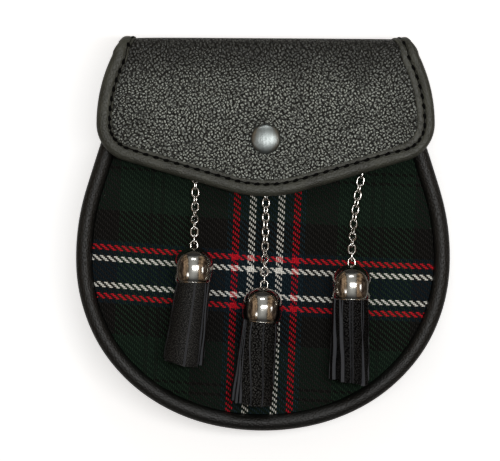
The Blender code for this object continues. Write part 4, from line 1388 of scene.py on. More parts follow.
    def whole_edge(self, count: int) -> tuple[Array, Array]:
        """Edge of the whole flap from the tail's left end round the tip to its right end, as (x, run)."""
        edge, facing = self.leaf_edge()
        runs = np.linspace(0.0, self.runs[3], 90)[:-1]
        behind = np.stack([self.half_at(runs), runs], 1)
        points = np.vstack([behind, edge])
        normals = np.vstack([np.tile([1.0, 0.0], (len(behind), 1)), facing])
        flip = np.array([-1.0, 1.0])
        points, normals = np.vstack([points * flip, points[::-1][1:]]), np.vstack([normals * flip, normals[::-1][1:]])
        points, normals = evenly(points, count, normals)
        return points, unit(normals)

    def sheet_grid(self, columns: int = 150, rows: int = 120, behind: int = 56) -> Array:
        """Places of the sheet as (rows, columns, 2) of x and run.

        Behind the leaf the rows are straight. On the leaf they are a Coons patch: the two pairs of edges
        blended, less what the corners count twice.

        Args:
            columns: Places across.
            rows: Rows on the leaf.
            behind: Rows on the tail, the folds and the spine.

        Returns:
            The grid.
        """
        edge, facing = self.leaf_edge()
        edge = edge - self.sheet_inset * facing
        corner = int(np.argmax(facing[:, 1] > math.sin(math.radians(45))))
        flip = np.array([-1.0, 1.0])
        (down,) = evenly(edge[: corner + 1], rows)
        (bottom,) = evenly(np.vstack([edge[corner:] * flip, edge[corner:][::-1][1:]]), columns)
        share = np.linspace(-1.0, 1.0, columns)
        u, v = (share[None, :, None] + 1) / 2, np.linspace(0.0, 1.0, rows)[:, None, None]
        top = np.stack([share * down[0, 0], np.full(columns, down[0, 1])], 1)
        right = down[:, None]
        patch = (1 - v) * top + v * bottom + (1 - u) * right * flip + u * right
        patch -= (1 - v) * ((1 - u) * top[0] + u * top[-1]) + v * ((1 - u) * bottom[0] + u * bottom[-1])
        runs = np.linspace(0.0, self.runs[3], behind + 1)[:-1]
        half = self.half_at(runs) - self.sheet_inset
        straight = np.stack([half[:, None] * share, np.broadcast_to(runs[:, None], (behind, columns))], 2)
        return np.concatenate([straight, patch])

    def sheet(self) -> Shape:
        """The leather: both faces half a thickness from the middle along its normal, in one closed ring a row."""
        grid = self.sheet_grid()
        x, run = grid[..., 0], grid[..., 1]
        middle, out = self.surface(x, run), self.normal(x, run)
        half = self.thickness / 2
        rings = np.concatenate([middle + half * out, (middle - half * out)[:, ::-1]], 1)
        places = np.concatenate([grid, grid[:, ::-1]], 1) / MM
        body = skin(rings, capped=False, surface=places)
        rows, size = rings.shape[:2]
        k = np.arange(size // 2 - 1)
        strip = np.stack([k, k + 1, size - 2 - k, size - 1 - k], 1)
        ends = np.concatenate([strip[:, ::-1], strip + (rows - 1) * size])
        body.faces.append(ends)
        body.maps.append(places.reshape(-1, 2)[ends])
        body.finishes.append(0)
        return body.outward()

    def binding_widths(self, x: Array) -> tuple[Array, Array]:
        """Width of the binding's roll, and of the strip inside its stitches, from the left edge to the right."""
        share = smoothstep((x + self.half_width) / (2 * self.half_width))
        side = smoothstep((np.abs(x) - 60 * MM) / (22 * MM)) * np.sign(x)
        roll = 5.6 * MM - 0.75 * MM * side
        lip = (1.5 + 0.25 * share) * MM + np.where(side > 0, 1.5, 0.75) * MM * side
        return roll, lip

    def binding_profile(self, roll: Array, lip: Array, rise: Array) -> Array:
        """Section of the binding at each station, as distances in from the edge and out from the sheet's middle.

        From the inner lip it dips into the stitches' channel, goes over the roll as two quarter ellipses, turns
        under as a third, and comes back under the sheet and round the slot that holds it.

        Args:
            roll: Width of the roll at each station.
            lip: Width of the strip inside the stitches.
            rise: Height of the roll.

        Returns:
            The sections, as (stations, points, 2).
        """
        channel, foot, slot = 0.9 * MM, 1.15 * MM, self.sheet_inset - 0.2 * MM
        width = roll + channel + lip
        ones = np.ones_like(roll)
        inner = [
            (width, foot * ones),
            (width + 0.02 * MM, 1.42 * MM * ones),
            (width - 0.1 * MM, 1.66 * MM * ones),
            (width - 0.35 * MM, 1.8 * MM * ones),
            (roll + channel + 0.45 * lip, 1.88 * MM * ones),
            (roll + channel + 0.1 * MM, 1.85 * MM * ones),
            (roll + 0.82 * channel, 1.68 * MM * ones),
            (roll + 0.6 * channel, 1.5 * MM * ones),
            (roll + 0.3 * channel, 1.46 * MM * ones),
            (roll + 0.05 * channel, 1.52 * MM * ones),
        ]
        over_in = [(roll / 2 * (1 + math.cos(a)), 1.5 * MM + (rise - 1.5 * MM) * math.sin(a)) for a in np.radians(np.arange(12, 90, 13))]
        over_out = [(roll / 2 * (1 + math.cos(a)), -0.5 * MM + (rise + 0.5 * MM) * math.sin(a)) for a in np.radians(np.arange(90, 181, 10))]
        under = [(0.3 * roll * (1 + math.cos(a)), (-0.5 + 1.9 * math.sin(a)) * MM * ones) for a in np.radians(np.arange(192, 271, 13))]
        back = [
            (0.6 * width, -2.4 * MM * ones),
            (width - 0.3 * MM, -2.35 * MM * ones),
            (width, -2.0 * MM * ones),
            (width, -foot * ones),
            (slot * ones, -foot * ones),
            (slot * ones, foot * ones),
        ]
        return np.stack([np.stack(pair, 1) for pair in (*inner, *over_in, *over_out, *under, *back)], 1)

    def on_edge(self, points: Array, normals: Array, inward: Array, out: Array) -> Array:
        """Points at distances in from the edge along the sheet, and out from the sheet's middle."""
        place = points[:, None] - inward[..., None] * normals[:, None]
        x, run = place[..., 0], np.maximum(place[..., 1], 0.0)
        return self.surface(x, run) + out[..., None] * self.normal(x, np.maximum(run, 0.1 * MM))

    def binding(self, stations: int = 520) -> Shape:
        """The binding: its section carried round the whole edge."""
        points, normals = self.whole_edge(stations)
        along = travel(points)
        roll, lip = self.binding_widths(points[:, 0])
        at_fold = 1 - smoothstep(np.abs(points[:, 1] - self.runs[3] + self.fold_radius) / (16 * MM))
        rise = 2.8 * MM * (1 - 0.02 * (1 + ripple(along, (19 * MM, 33 * MM, 57 * MM), 31))) - 0.4 * MM * at_fold
        profile = self.binding_profile(roll, lip, rise)
        return skin(self.on_edge(points, normals, profile[..., 0], profile[..., 1])).outward()

    def stitches(self, pitch: float = 5.4 * MM, length: float = 3.4 * MM, slant: float = 17.0) -> Shape:
        """Stitches in the binding's channel, each turned by a small slant from the edge's direction."""
        points, normals = self.whole_edge(2400)
        along = travel(points)
        count = int(along[-1] / pitch)
        stops = (np.arange(count) + 0.5) * pitch
        place = np.stack([np.interp(stops, along, column) for column in points.T], 1)
        ways = unit(np.stack([np.interp(stops, along, column) for column in normals.T], 1))
        roll, _ = self.binding_widths(place[:, 0])
        inward, out = (roll + 0.45 * MM)[:, None], np.full((count, 1), 1.62 * MM)
        origins = self.on_edge(place, ways, inward, out)[:, 0]
        ahead = self.on_edge(place, ways, inward - 0.2 * MM, out)[:, 0]
        side = unit(ahead - origins)
        x, run = (place - inward * ways).T
        up = self.normal(x, np.maximum(run, 0.1 * MM))
        side = unit(side - (side * up).sum(1, keepdims=True) * up)
        forward = np.cross(side, up)
        turn = math.radians(slant)
        axes = np.stack([math.cos(turn) * forward + math.sin(turn) * side, math.cos(turn) * side - math.sin(turn) * forward, up], 1)
        return repeated(thread_stitch(length, 0.7 * MM, 0.5 * MM), origins, axes)

    def tail_stitches(self, pitch: float = 5.0 * MM) -> Shape:
        """The row that sews the tail to the back, on its outer face."""
        x = np.arange(-13, 14) * pitch
        origins = self.surface(x, np.full(len(x), 4.0 * MM)) - np.array([0, 0, self.thickness / 2 - 0.1 * MM])
        axes = np.tile(np.diag([1.0, -1.0, -1.0]), (len(x), 1, 1))
        return repeated(thread_stitch(3.0 * MM, 0.4 * MM, 0.4 * MM), origins, axes)

    def build(self) -> None:
        """Make and dress the flap's pieces."""
        make_piece("flap_leather", self.sheet(), [FLAP_LEATHER.material()], ["flap"])
        make_piece("flap_edging", self.binding(), [EDGING_LEATHER.material()], ["flap_binding"])
        thread = joined([self.stitches(), self.tail_stitches()])
        make_piece("flap_stitches", thread, [STITCHING.material()])


@dataclass
class PressStud:
    """The snap's cap on the flap, its socket under it, and the knob on the front panel.

    Attributes:
        cap_radius: Of the domed cap.
        cap_height: Of the dome.
        post_radius: Of the post under it.
        post_length: Of the post.
        socket_radii: Inner and outer radius of the socket.
        socket_thickness: Of the socket.
        base_radius: Of the knob's plate.
        base_thickness: Of the plate.
        knob_radius: Of the knob.
        knob_height: From the plate's foot to the knob's top.
    """

    cap_radius: float = 7.6 * MM
    cap_height: float = 3.2 * MM
    post_radius: float = 2.2 * MM
    post_length: float = 2.9 * MM
    socket_radii: tuple[float, float] = (3.1 * MM, 5.6 * MM)
    socket_thickness: float = 3.0 * MM
    base_radius: float = 5.0 * MM
    base_thickness: float = 1.1 * MM
    knob_radius: float = 2.5 * MM
    knob_height: float = 6.4 * MM

    def cap(self) -> Shape:
        """A shallow dome with a rolled rim: one less the radius share to a power, rooted, over a small half circle."""
        share = np.linspace(0.02, 0.975, 22)
        rise = self.cap_height - 1.1 * MM
        dome = np.stack([self.cap_radius * share, 0.55 * MM + rise * (1 - share**2.4) ** 0.5], 1)
        rim = np.radians(np.linspace(35, -90, 9))
        radius = 0.42 * MM
        edge = np.stack([self.cap_radius - radius + radius * np.cos(rim), 0.5 * MM + radius * np.sin(rim)], 1)
        hollow = np.array([[self.cap_radius - 0.9 * MM, 0.12 * MM], [self.post_radius, 0.12 * MM], [self.post_radius, -self.post_length], [0.1 * MM, -self.post_length]])
        return turned(np.vstack([dome, edge, hollow]), 72)

    def socket(self) -> Shape:
        """A ring with rounded edges and a shallow groove."""
        inner, outer = self.socket_radii
        low, c = -self.socket_thickness, 0.35 * MM
        profile = [(inner, -c), (inner + c, 0), (outer - c, 0), (outer, -c), (outer, -1.2 * MM), (outer - 0.3 * MM, -1.5 * MM),
                   (outer, -1.8 * MM), (outer, low + c), (outer - c, low), (inner + c, low), (inner, low + c)]
        return turned(np.array(profile), 48, closed=True)

    def knob(self) -> Shape:
        """A flat plate with a knob that widens a little towards its rounded top."""
        base, top = self.base_thickness, self.knob_height
        turns = np.linspace(0, np.pi / 2, 6)
        head = np.stack([self.knob_radius - 0.8 * MM + 0.8 * MM * np.cos(turns), top - 0.8 * MM + 0.8 * MM * np.sin(turns)], 1)
        profile = [(0.1 * MM, 0.0), (self.base_radius - 0.2 * MM, 0.0), (self.base_radius, 0.3 * MM), (self.base_radius - 0.3 * MM, base),
                   (2.1 * MM, base + 0.1 * MM), (2.0 * MM, base + 1.5 * MM), *map(tuple, head), (0.1 * MM, top)]
        return turned(np.array(profile), 48)

    def build(self, flap: Flap, pouch: Pouch) -> None:
        """Make and dress the three parts of the stud.

        Args:
            flap: Carries the cap and the socket.
            pouch: Carries the knob.
        """
        x, y = flap.aside, flap.snap_y
        level = float(flap.surface(np.array(0.0), np.array(flap.runs[3] + flap.fold_y - y))[2])
        pewter = [SNAP_PEWTER.material()]
        over = self.cap().moved(np.array([x, y, level + flap.thickness / 2 + 0.05 * MM]))
        make_piece("snap_dome", over, pewter, ["snap_cap"])
        under = self.socket().moved(np.array([x, y, level - flap.thickness / 2]))
        make_piece("snap_ring", under, pewter, ["snap_socket"])
        foot = float(pouch.panel_height(np.array(x), np.array(y)))
        make_piece("snap_knob", self.knob().moved(np.array([x, y, foot])), pewter, ["snap_stud"])


@dataclass
class BeltLoops:
    """Two leather loops on the back that the hanging belt passes through.

    Attributes:
        x: Distance of each from the middle.
        y: Their middle.
        width: Of the strip.
        slot_height: Free height of the slot.
        sewn_end: Length sewn down at each end.
        thickness: Of the strip.
        clearance: From the back panel to the loop.
        shoulder: Over which it rises.
    """

    x: float = 42.0 * MM
    y: float = 47.0 * MM
    width: float = 22.0 * MM
    slot_height: float = 28.0 * MM
    sewn_end: float = 7.0 * MM
    thickness: float = 1.6 * MM
    clearance: float = 4.5 * MM
    shoulder: float = 3.0 * MM

    def strip(self, count: int = 90, sides: int = 30) -> Shape:
        """The strip: a flat rounded section carried along a line that dips off the panel by a smooth S at each end."""
        half = self.slot_height / 2
        y = np.linspace(-half - self.sewn_end, half + self.sewn_end, count)
        drop = (self.clearance - GAP) * smoothstep((half + 0.7 * MM - np.abs(y)) / (1.55 * self.shoulder))
        line = np.stack([np.zeros(count), y, -self.thickness / 2 - drop], 1)
        along = unit(np.gradient(line, axis=0))
        across = np.tile([1.0, 0.0, 0.0], (count, 1))
        turns = np.arange(sides) * 2 * np.pi / sides
        c, s = np.cos(turns), np.sin(turns)
        ring = np.stack([self.width / 2 * np.sign(c) * np.abs(c) ** 0.12, self.thickness / 2 * np.sign(s) * np.abs(s) ** 0.5], 1)
        return skin(carried(ring, line, across, np.cross(across, along))).outward()

    def stitches(self) -> Shape:
        """Two rows of stitches across each sewn end, on the outer face."""
        half = self.slot_height / 2
        rows = np.array([half + 2.2 * MM, half + 5.0 * MM])
        x, y = np.meshgrid(np.linspace(-8.4, 8.4, 5) * MM, np.concatenate([rows, -rows]))
        origins = np.stack([x.ravel(), y.ravel(), np.full(x.size, -self.thickness + 0.12 * MM)], 1)
        axes = np.tile(np.diag([1.0, -1.0, -1.0]), (len(origins), 1, 1))
        return repeated(thread_stitch(2.9 * MM, 0.36 * MM, 0.4 * MM), origins, axes)

    def build(self, pouch: Pouch) -> None:
        """Make and dress both loops and their stitches on the back panel."""
        level = pouch.back_panel_z[0] - 0.1 * MM
        for side, x in (("left", -self.x), ("right", self.x)):
            offset = np.array([x, self.y, level])
            name = f"belt_loop_{side}"
            make_piece(f"belt_strap_{side}", self.strip().moved(offset), [STRAP_LEATHER.material()], [name])
            make_piece(f"strap_stitches_{side}", self.stitches().moved(offset), [STITCHING.material()])


# ---------------------------------------------------------------- chains and tassels


@dataclass(frozen=True)
class Chain:
    """A cable chain of oval wire links, each turned a quarter from the last, and the staple that holds it.

    Attributes:
        link_length: Outer length of a link.
        link_width: Outer width.
        wire: Thickness of its wire.
        pitch: From link to link.
        rest: Height of the chain's middle over the cloth.
        rise_run: Length over which it climbs to the tassel's axis.
        climb_start: Length at the eye that keeps the eye's height.
        staple_reach: From the last link's middle to the staple's.
        eye_reach: From the first link's middle to the eye's.
        staple_radius: Of the staple's ring.
        base_radius: Of the staple's plate.
        base_thickness: Of the plate.
    """

    link_length: float = 5.72 * MM
    link_width: float = 4.4 * MM
    wire: float = 0.98 * MM
    pitch: float = 3.67 * MM
    rest: float = 2.7 * MM
    rise_run: float = 16.0 * MM
    climb_start: float = 5.45 * MM
    staple_reach: float = 2.55 * MM
    eye_reach: float = 3.2 * MM
    staple_radius: float = 1.8 * MM
    base_radius: float = 3.4 * MM
    base_thickness: float = 0.9 * MM

    def link(self, steps: int = 16, sides: int = 10) -> Shape:
        """One link in the XY plane, its length along Y: a circle carried round two half circles and two straights."""
        radius = (self.link_width - self.wire) / 2
        straight = (self.link_length - self.link_width) / 2
        turns = np.linspace(0.0, np.pi, steps)
        top = np.stack([radius * np.cos(turns), straight + radius * np.sin(turns)], 1)
        return self.ring(np.vstack([top, -top]), sides)

    def ring(self, path: Array, sides: int) -> Shape:
        """Wire carried round a closed path in the XY plane."""
        along = unit(np.roll(path, -1, 0) - np.roll(path, 1, 0))
        out = np.stack([along[:, 1], -along[:, 0]], 1)
        rings = carried(circle(sides, self.wire / 2), flat(path), flat(out), upright(len(path)))
        return skin(rings, along=True).outward()

    def path(self, eye: Array, via: Array, head: Array, pouch: Pouch) -> tuple[Array, Array]:
        """The chain's middle line from the eye to its head.

        Seen from above it is a quadratic curve. Its height is a fixed rest over the cloth, and it climbs to the
        eye's height along a smooth S.

        Args:
            eye: Middle of the cap's eye.
            via: Point that the curve bends towards.
            head: Where it heads under the flap.
            pouch: Gives the cloth's height.

        Returns:
            Points of the line, and the distance along it to each.
        """
        t = np.linspace(0.0, 1.0, 600)[:, None]
        plan = (1 - t) ** 2 * eye[:2] + 2 * t * (1 - t) * via + t**2 * head
        rest = pouch.panel_height(plan[:, 0], plan[:, 1]) + self.rest
        climb = smoothstep(1 - (travel(plan) - self.climb_start) / self.rise_run)
        line = np.column_stack([plan, rest + (eye[2] - rest) * climb])
        return line, travel(line)

    def links(self, line: Array, along: Array, count: int, twist: float) -> Shape:
        """The links, each turned about the line by a quarter more than the last and by a twist that swells half way.

        Args:
            line: The chain's middle line.
            along: Distances along it.
            count: How many links.
            twist: The twist half way, in degrees.

        Returns:
            All the links as one shape.
        """
        def at(distance: Array) -> Array:
            """Points of the line at distances along it."""
            return np.stack([np.interp(distance, along, column) for column in line.T], 1)

        number = np.arange(count)
        stops = self.eye_reach + number * self.pitch
        ahead = unit(at(stops + MM) - at(stops - MM))
        side = unit(np.cross(ahead, upright(count)))
        up = np.cross(side, ahead)
        turn = np.radians(twist * np.sin(np.pi * number / (count - 1)) + 90.0 * (number + 1))[:, None]
        width = np.cos(turn) * side + np.sin(turn) * up
        return repeated(self.link(), at(stops), np.stack([width, ahead, np.cross(width, ahead)], 1))

    def staple(self, line: Array, along: Array, count: int) -> Shape:
        """The wire eye and its domed plate on the cloth, past the last link, facing down the chain."""
        reach = self.eye_reach + (count - 1) * self.pitch + self.staple_reach
        place = np.array([np.interp(reach, along, column) for column in line.T])
        before = np.array([np.interp(reach - MM, along, column) for column in line.T])
        heading = math.atan2(*(before - place)[[1, 0]])
        ring = self.ring(circle(28, self.staple_radius), 10).placed(np.array(Matrix.Rotation(math.pi / 2, 4, "X")))
        low = 0.1 * MM - self.rest
        turns = np.linspace(0, np.pi / 2, 6)
        top = np.stack([self.base_radius * np.cos(turns), low + self.base_thickness * (0.4 + 0.6 * np.sin(turns))], 1)
        top[-1, 0] = 0.1 * MM
        plate = turned(np.vstack([[[0.1 * MM, low], [self.base_radius, low]], top]), 40)
        place_at = Matrix.Translation(place) @ Matrix.Rotation(heading, 4, "Z")
        return joined([ring, plate]).placed(np.array(place_at))


class Side(Enum):
    """Which of the three tassels."""

    LEFT = "left"
    CENTRE = "centre"
    RIGHT = "right"


@dataclass(frozen=True)
class Lying:
    """A strip that lies round the bundle.

    Attributes:
        top: Angles of its borders under the cap, in degrees round from the top, positive to the right.
        end: The same at its end.
        ends: How far below the cap's top each border ends, in mm.
        lift: How far it stands proud at its end, in mm.
        rim: Width of the pale line along its borders, in mm.
        bevel: Height of its bevelled borders, in mm.
        thickness: In mm.
    """

    top: tuple[float, float]
    end: tuple[float, float]
    ends: tuple[float, float]
    lift: float
    rim: float = 0.25
    bevel: float = 0.3
    thickness: float = 1.5


@dataclass(frozen=True)
class Standing:
    """A strip that stands on edge.

    Attributes:
        x: Place across under the cap and at its end, in mm.
        turn: Turn of its face from upwards under the cap and at its end, in degrees.
        width: In mm.
        end_at: How far below the cap's top it ends, in mm.
        thickness: In mm.
        sink: How far it sits below the form, in mm.
    """

    x: tuple[float, float]
    turn: tuple[float, float]
    width: float
    end_at: float
    thickness: float
    sink: float = 0.0


@dataclass
class Tassel:
    """One tassel on its chain: the cap with its eye, and leather strips under it.

    Attributes:
        side: Which one.
        cap_top: Top of the cap, in mm.
        via: Point that its chain bends towards, in mm.
        head: Where its chain heads, in mm.
        lean: How far it leans, in degrees.
        sweep: How far its strips sweep aside, in degrees.
        links: Number of links.
        twist: Twist of the chain half way, in degrees.
        strips: The strips that lie round the bundle.
        edges: The strips that stand on edge.
        grain: The strips' finish.
    """

    side: Side
    cap_top: tuple[float, float]
    via: tuple[float, float]
    head: tuple[float, float]
    lean: float
    sweep: float
    links: int
    twist: float
    strips: tuple[Lying, ...]
    edges: tuple[Standing, ...]
    chain: Chain = field(default_factory=Chain)
    grain: GrainedLeather = STRIP_LEATHER
    cap_radius: float = 10.1 * MM
    cap_height: float = 18.0 * MM
    mouth_radius: float = 8.5 * MM
    cap_wall: float = 0.7 * MM
    eye_height: float = 0.8 * MM
    strip_start: float = 12.0 * MM
    strip_end: float = 60.1 * MM

    def frame(self, pouch: Pouch) -> Array:
        """Place of the cap's top, with the tassel along -Y, turned by its lean and resting on the cloth."""
        x, y = np.array(self.cap_top) * MM
        level = float(pouch.panel_height(x, y - self.cap_radius)) + self.cap_radius + GAP
        return np.array(Matrix.Translation((x, y, level)) @ Matrix.Rotation(math.radians(-self.lean), 4, "Z"))

    def cap(self) -> Shape:
        """The domed cap, turned: a half circle, an inward curve to a beaded mouth, and the same inside."""
        radius, mouth, wall = self.cap_radius, self.mouth_radius, self.cap_wall
        turns = np.linspace(math.radians(1.0), math.pi / 2, 26)
        dome = np.stack([radius * np.sin(turns), -radius * (1 - np.cos(turns))], 1)
        share = np.linspace(0.0, 1.0, 16)[1:]
        depth = self.cap_height - radius
        skirt = np.stack([mouth + (radius - mouth) * (1 - share**2.6 * 0.999) ** 0.6, -radius - depth * 0.95 * share], 1)
        bead = np.radians(np.linspace(60, -200, 12))
        thick = 0.26 * MM
        rim = np.stack([mouth - 0.1 * MM + thick * np.cos(bead), -self.cap_height + thick + thick * np.sin(bead)], 1)
        inside = np.stack([(radius - wall) * np.sin(turns[::-1]), -radius + (radius - wall) * np.cos(turns[::-1])], 1)
        inner = np.array([[mouth - wall, -self.cap_height + 1.2 * MM]])
        shell = turned(np.vstack([dome, skirt, rim, inner, inside]), 72)
        return shell.placed(np.array(Matrix.Rotation(-math.pi / 2, 4, "X")))

    def eye(self) -> Shape:
        """The wire eye on the cap's top, a link half sunk in the dome, on a small collar."""
        eye = self.chain.link().moved(np.array([0.0, self.eye_height, 0.0]))
        turns = np.linspace(0, np.pi / 2, 5)
        collar = np.stack([1.5 * MM * np.cos(turns), -0.5 * MM + 0.75 * MM * np.sin(turns)], 1)
        collar[-1, 0] = 0.1 * MM
        base = turned(np.vstack([[[0.1 * MM, -0.6 * MM], [1.5 * MM, -0.6 * MM]], collar]), 24)
        return joined([eye, base.placed(np.array(Matrix.Rotation(-math.pi / 2, 4, "X")))])

    def form(self, below: Array) -> tuple[Array, Array, Array, Array]:
        """Half width, half height, droop and sideways sweep of the strips' bundle at distances below the cap's top.

        The first three are read from a short table, and the sweep adds its tangent times the distance below
        the mouth.
        """
        rows = np.array([[9.0, 7.9, 7.9, 0.0], [17.0, 8.3, 8.2, 0.0], [25.0, 9.1, 8.7, 0.1], [60.1, 10.3, 8.6, 2.2]])
        wide, high, droop = (np.interp(below / MM, rows[:, 0], rows[:, k]) * MM for k in (1, 2, 3))
        return wide, high, droop, math.tan(math.radians(self.sweep)) * np.maximum(0.0, below - self.cap_height)

    def lying(self, row: Lying, seed: int, rows: int = 36) -> Shape:
        """A strip that lies round the bundle: a curved section between two angles, carried down the form.

        Both faces follow the form's ellipse, and the section's borders are bevelled. Slow sines make it wave.

        Args:
            row: Its angles, its ends and its lift.
            seed: Picks its waves.
            rows: Sections along it.

        Returns:
            The strip; its bevels and cut edges have finish 1.
        """
        share = np.linspace(0.0, 1.0, rows)[:, None]
        rim = row.rim * MM / (self.form(np.array(40 * MM))[0] * math.radians(abs(row.end[1] - row.end[0])))
        across = np.array([0.0, rim, 0.2, 0.4, 0.6, 0.8, 1.0 - rim, 1.0])
        q = np.concatenate([across, across[::-1]])[None]
        ends = (row.ends[0] + (row.ends[1] - row.ends[0]) * q) * MM
        below = self.strip_start + share * (ends - self.strip_start)
        free = smoothstep((below - self.cap_height) / (self.strip_end - self.cap_height))
        start = row.top[0] + (row.top[1] - row.top[0]) * q
        angle = np.radians(start + free * (row.end[0] + (row.end[1] - row.end[0]) * q - start))
        bevel = np.where((across < 0.01) | (across > 0.99), row.bevel, 0.0)
        reach = np.concatenate([bevel, np.full(len(across), row.thickness)])[None] * MM - row.lift * MM * free
        wave = 0.3 * ripple(below, (19 * MM, 33 * MM), seed) + 0.12 * ripple(below + 9 * q * MM, (8 * MM, 13 * MM), seed + 9)
        wide, high, droop, aside = self.form(below)
        reach = reach + MM * free * wave
        rings = np.stack(
            [(wide - reach) * np.sin(angle) - aside, -below + 0.0 * q, (high - reach) * np.cos(angle) - droop], -1
        )
        return self.cut_edges(rings, {0, 6, 7, 15}, seed)

    def standing(self, row: Standing, seed: int, rows: int = 36) -> Shape:
        """A strip that stands on edge, so that its cut edge shows: a flat section carried down the form.

        Its upper edge keeps to the form's height at its place across.

        Args:
            row: Its places, its turns and its size.
            seed: Picks its waves.
            rows: Sections along it.

        Returns:
            The strip; its cut edges have finish 1.
        """
        share = np.linspace(0.0, 1.0, rows)
        below = self.strip_start + share * (row.end_at * MM - self.strip_start)
        free = smoothstep((below - self.cap_height) / (self.strip_end - self.cap_height))
        wide, high, droop, aside = self.form(below)
        x = (row.x[0] + (row.x[1] - row.x[0]) * free) * MM + 0.25 * MM * free * ripple(below, (17 * MM, 29 * MM), seed)
        turn = np.radians(row.turn[0] + (row.turn[1] - row.turn[0]) * free)
        level = high * np.sqrt(np.clip(1 - (x / wide) ** 2, 0.12, 1.0)) - droop
        level = level - row.width * MM / 2 * np.abs(np.sin(turn)) - row.sink * MM
        middle = np.stack([x - aside, -below, level], 1)
        out = np.stack([np.sin(turn), np.zeros(rows), np.cos(turn)], 1)
        side = np.stack([np.cos(turn), np.zeros(rows), -np.sin(turn)], 1)
        half, thick, bevel = row.width * MM / 2, row.thickness * MM / 2, 0.15 * MM
        face = np.array([[half - bevel, thick], [0.0, thick * 1.05], [bevel - half, thick]])
        edge = np.array([[-half, thick - bevel], [-half, bevel - thick]])
        ring = np.vstack([face, edge, -face, -edge])
        return self.cut_edges(carried(ring, middle, side, out), {2, 3, 4, 7, 8, 9}, seed)

    @staticmethod
    def cut_edges(rings: Array, cut: set[int], seed: int) -> Shape:
        """Skin a strip, giving its ends and the faces after the named places of its section the second finish."""
        made = skin(rings)
        place = np.tile(np.arange(rings.shape[1]), len(rings) - 1)
        chosen = np.isin(place, list(cut))
        shift = np.array([seed * 37.0, seed * 11.0])
        faces, maps = made.faces[0], made.maps[0]
        return Shape(
            made.points,
            [faces[~chosen], faces[chosen], made.faces[1]],
            [maps[~chosen] + shift, maps[chosen], made.maps[1]],
            [0, 1, 1],
        ).outward()

    def core(self) -> Shape:
        """The rolled head that the cap grips, and the bundle's inside, seen only between strips."""
        rows = np.array([[9.6, 4.0, 0.0], [10.4, 6.9, 0.0], [22.0, 6.6, 0.0], [55.0, 7.0, 2.0], [56.5, 6.0, 2.1]])
        turns = np.arange(20) * 2 * np.pi / 20
        aside = math.tan(math.radians(self.sweep)) * np.maximum(0.0, rows[:, 0] * MM - self.cap_height)
        squash = np.array([1.0, 1.0, 1.0, 0.85, 0.85])
        rings = np.stack(
            [
                rows[:, 1:2] * MM * np.sin(turns) - aside[:, None],
                np.broadcast_to(-rows[:, :1] * MM, (5, 20)),
                rows[:, 1:2] * squash[:, None] * MM * np.cos(turns) - rows[:, 2:] * MM,
            ],
            2,
        )
        return skin(rings).outward()

    def build(self, pouch: Pouch) -> None:
        """Make and dress the tassel, its chain and its staple.

        Args:
            pouch: Gives the cloth's height.
        """
        side, frame_at = self.side.value, self.frame(pouch)
        eye = (frame_at @ np.array([0.0, self.eye_height, 0.0, 1.0]))[:3]
        line, along = self.chain.path(eye, np.array(self.via) * MM, np.array(self.head) * MM, pouch)
        steel = [CHAIN_STEEL.material()]
        staple = self.chain.staple(line, along, self.links)
        make_piece(f"staple_{side}", staple, steel, [f"chain_staple_{side}"])
        links = self.chain.links(line, along, self.links, self.twist)
        make_piece(f"chain_{side}", links, steel, [f"tassel_chain_{side}"])
        cap = joined([self.cap(), self.eye()]).placed(frame_at)
        make_piece(f"cap_{side}", cap, [CAP_CHROME.material()], [f"tassel_cap_{side}"], sharp=60)
        shown = [self.lying(row, 3 + 7 * number) for number, row in enumerate(self.strips)]
        stood = [self.standing(row, 5 + 11 * number) for number, row in enumerate(self.edges)]
        bunch = joined([self.core(), *shown, *stood]).placed(frame_at)
        finishes = [self.grain.material(), STRIP_EDGE.material()]
        make_piece(f"strips_{side}", bunch, finishes, [f"tassel_strips_{side}"])


def round_behind(first: float, last: float, count: int) -> tuple[Lying, ...]:
    """Plain strips spread evenly round the part of the bundle that the front strips leave, between two angles."""
    stops = np.linspace(first, last, count + 1)
    ends = 58.6 + 0.9 * np.sin(2.3 * np.arange(count + 1))
    pairs = [(float(a) + 1.0, float(b) - 1.0) for a, b in zip(stops[:-1], stops[1:])]
    return tuple(Lying(pair, pair, (float(ends[n]), float(ends[n + 1])), 0.0) for n, pair in enumerate(pairs))


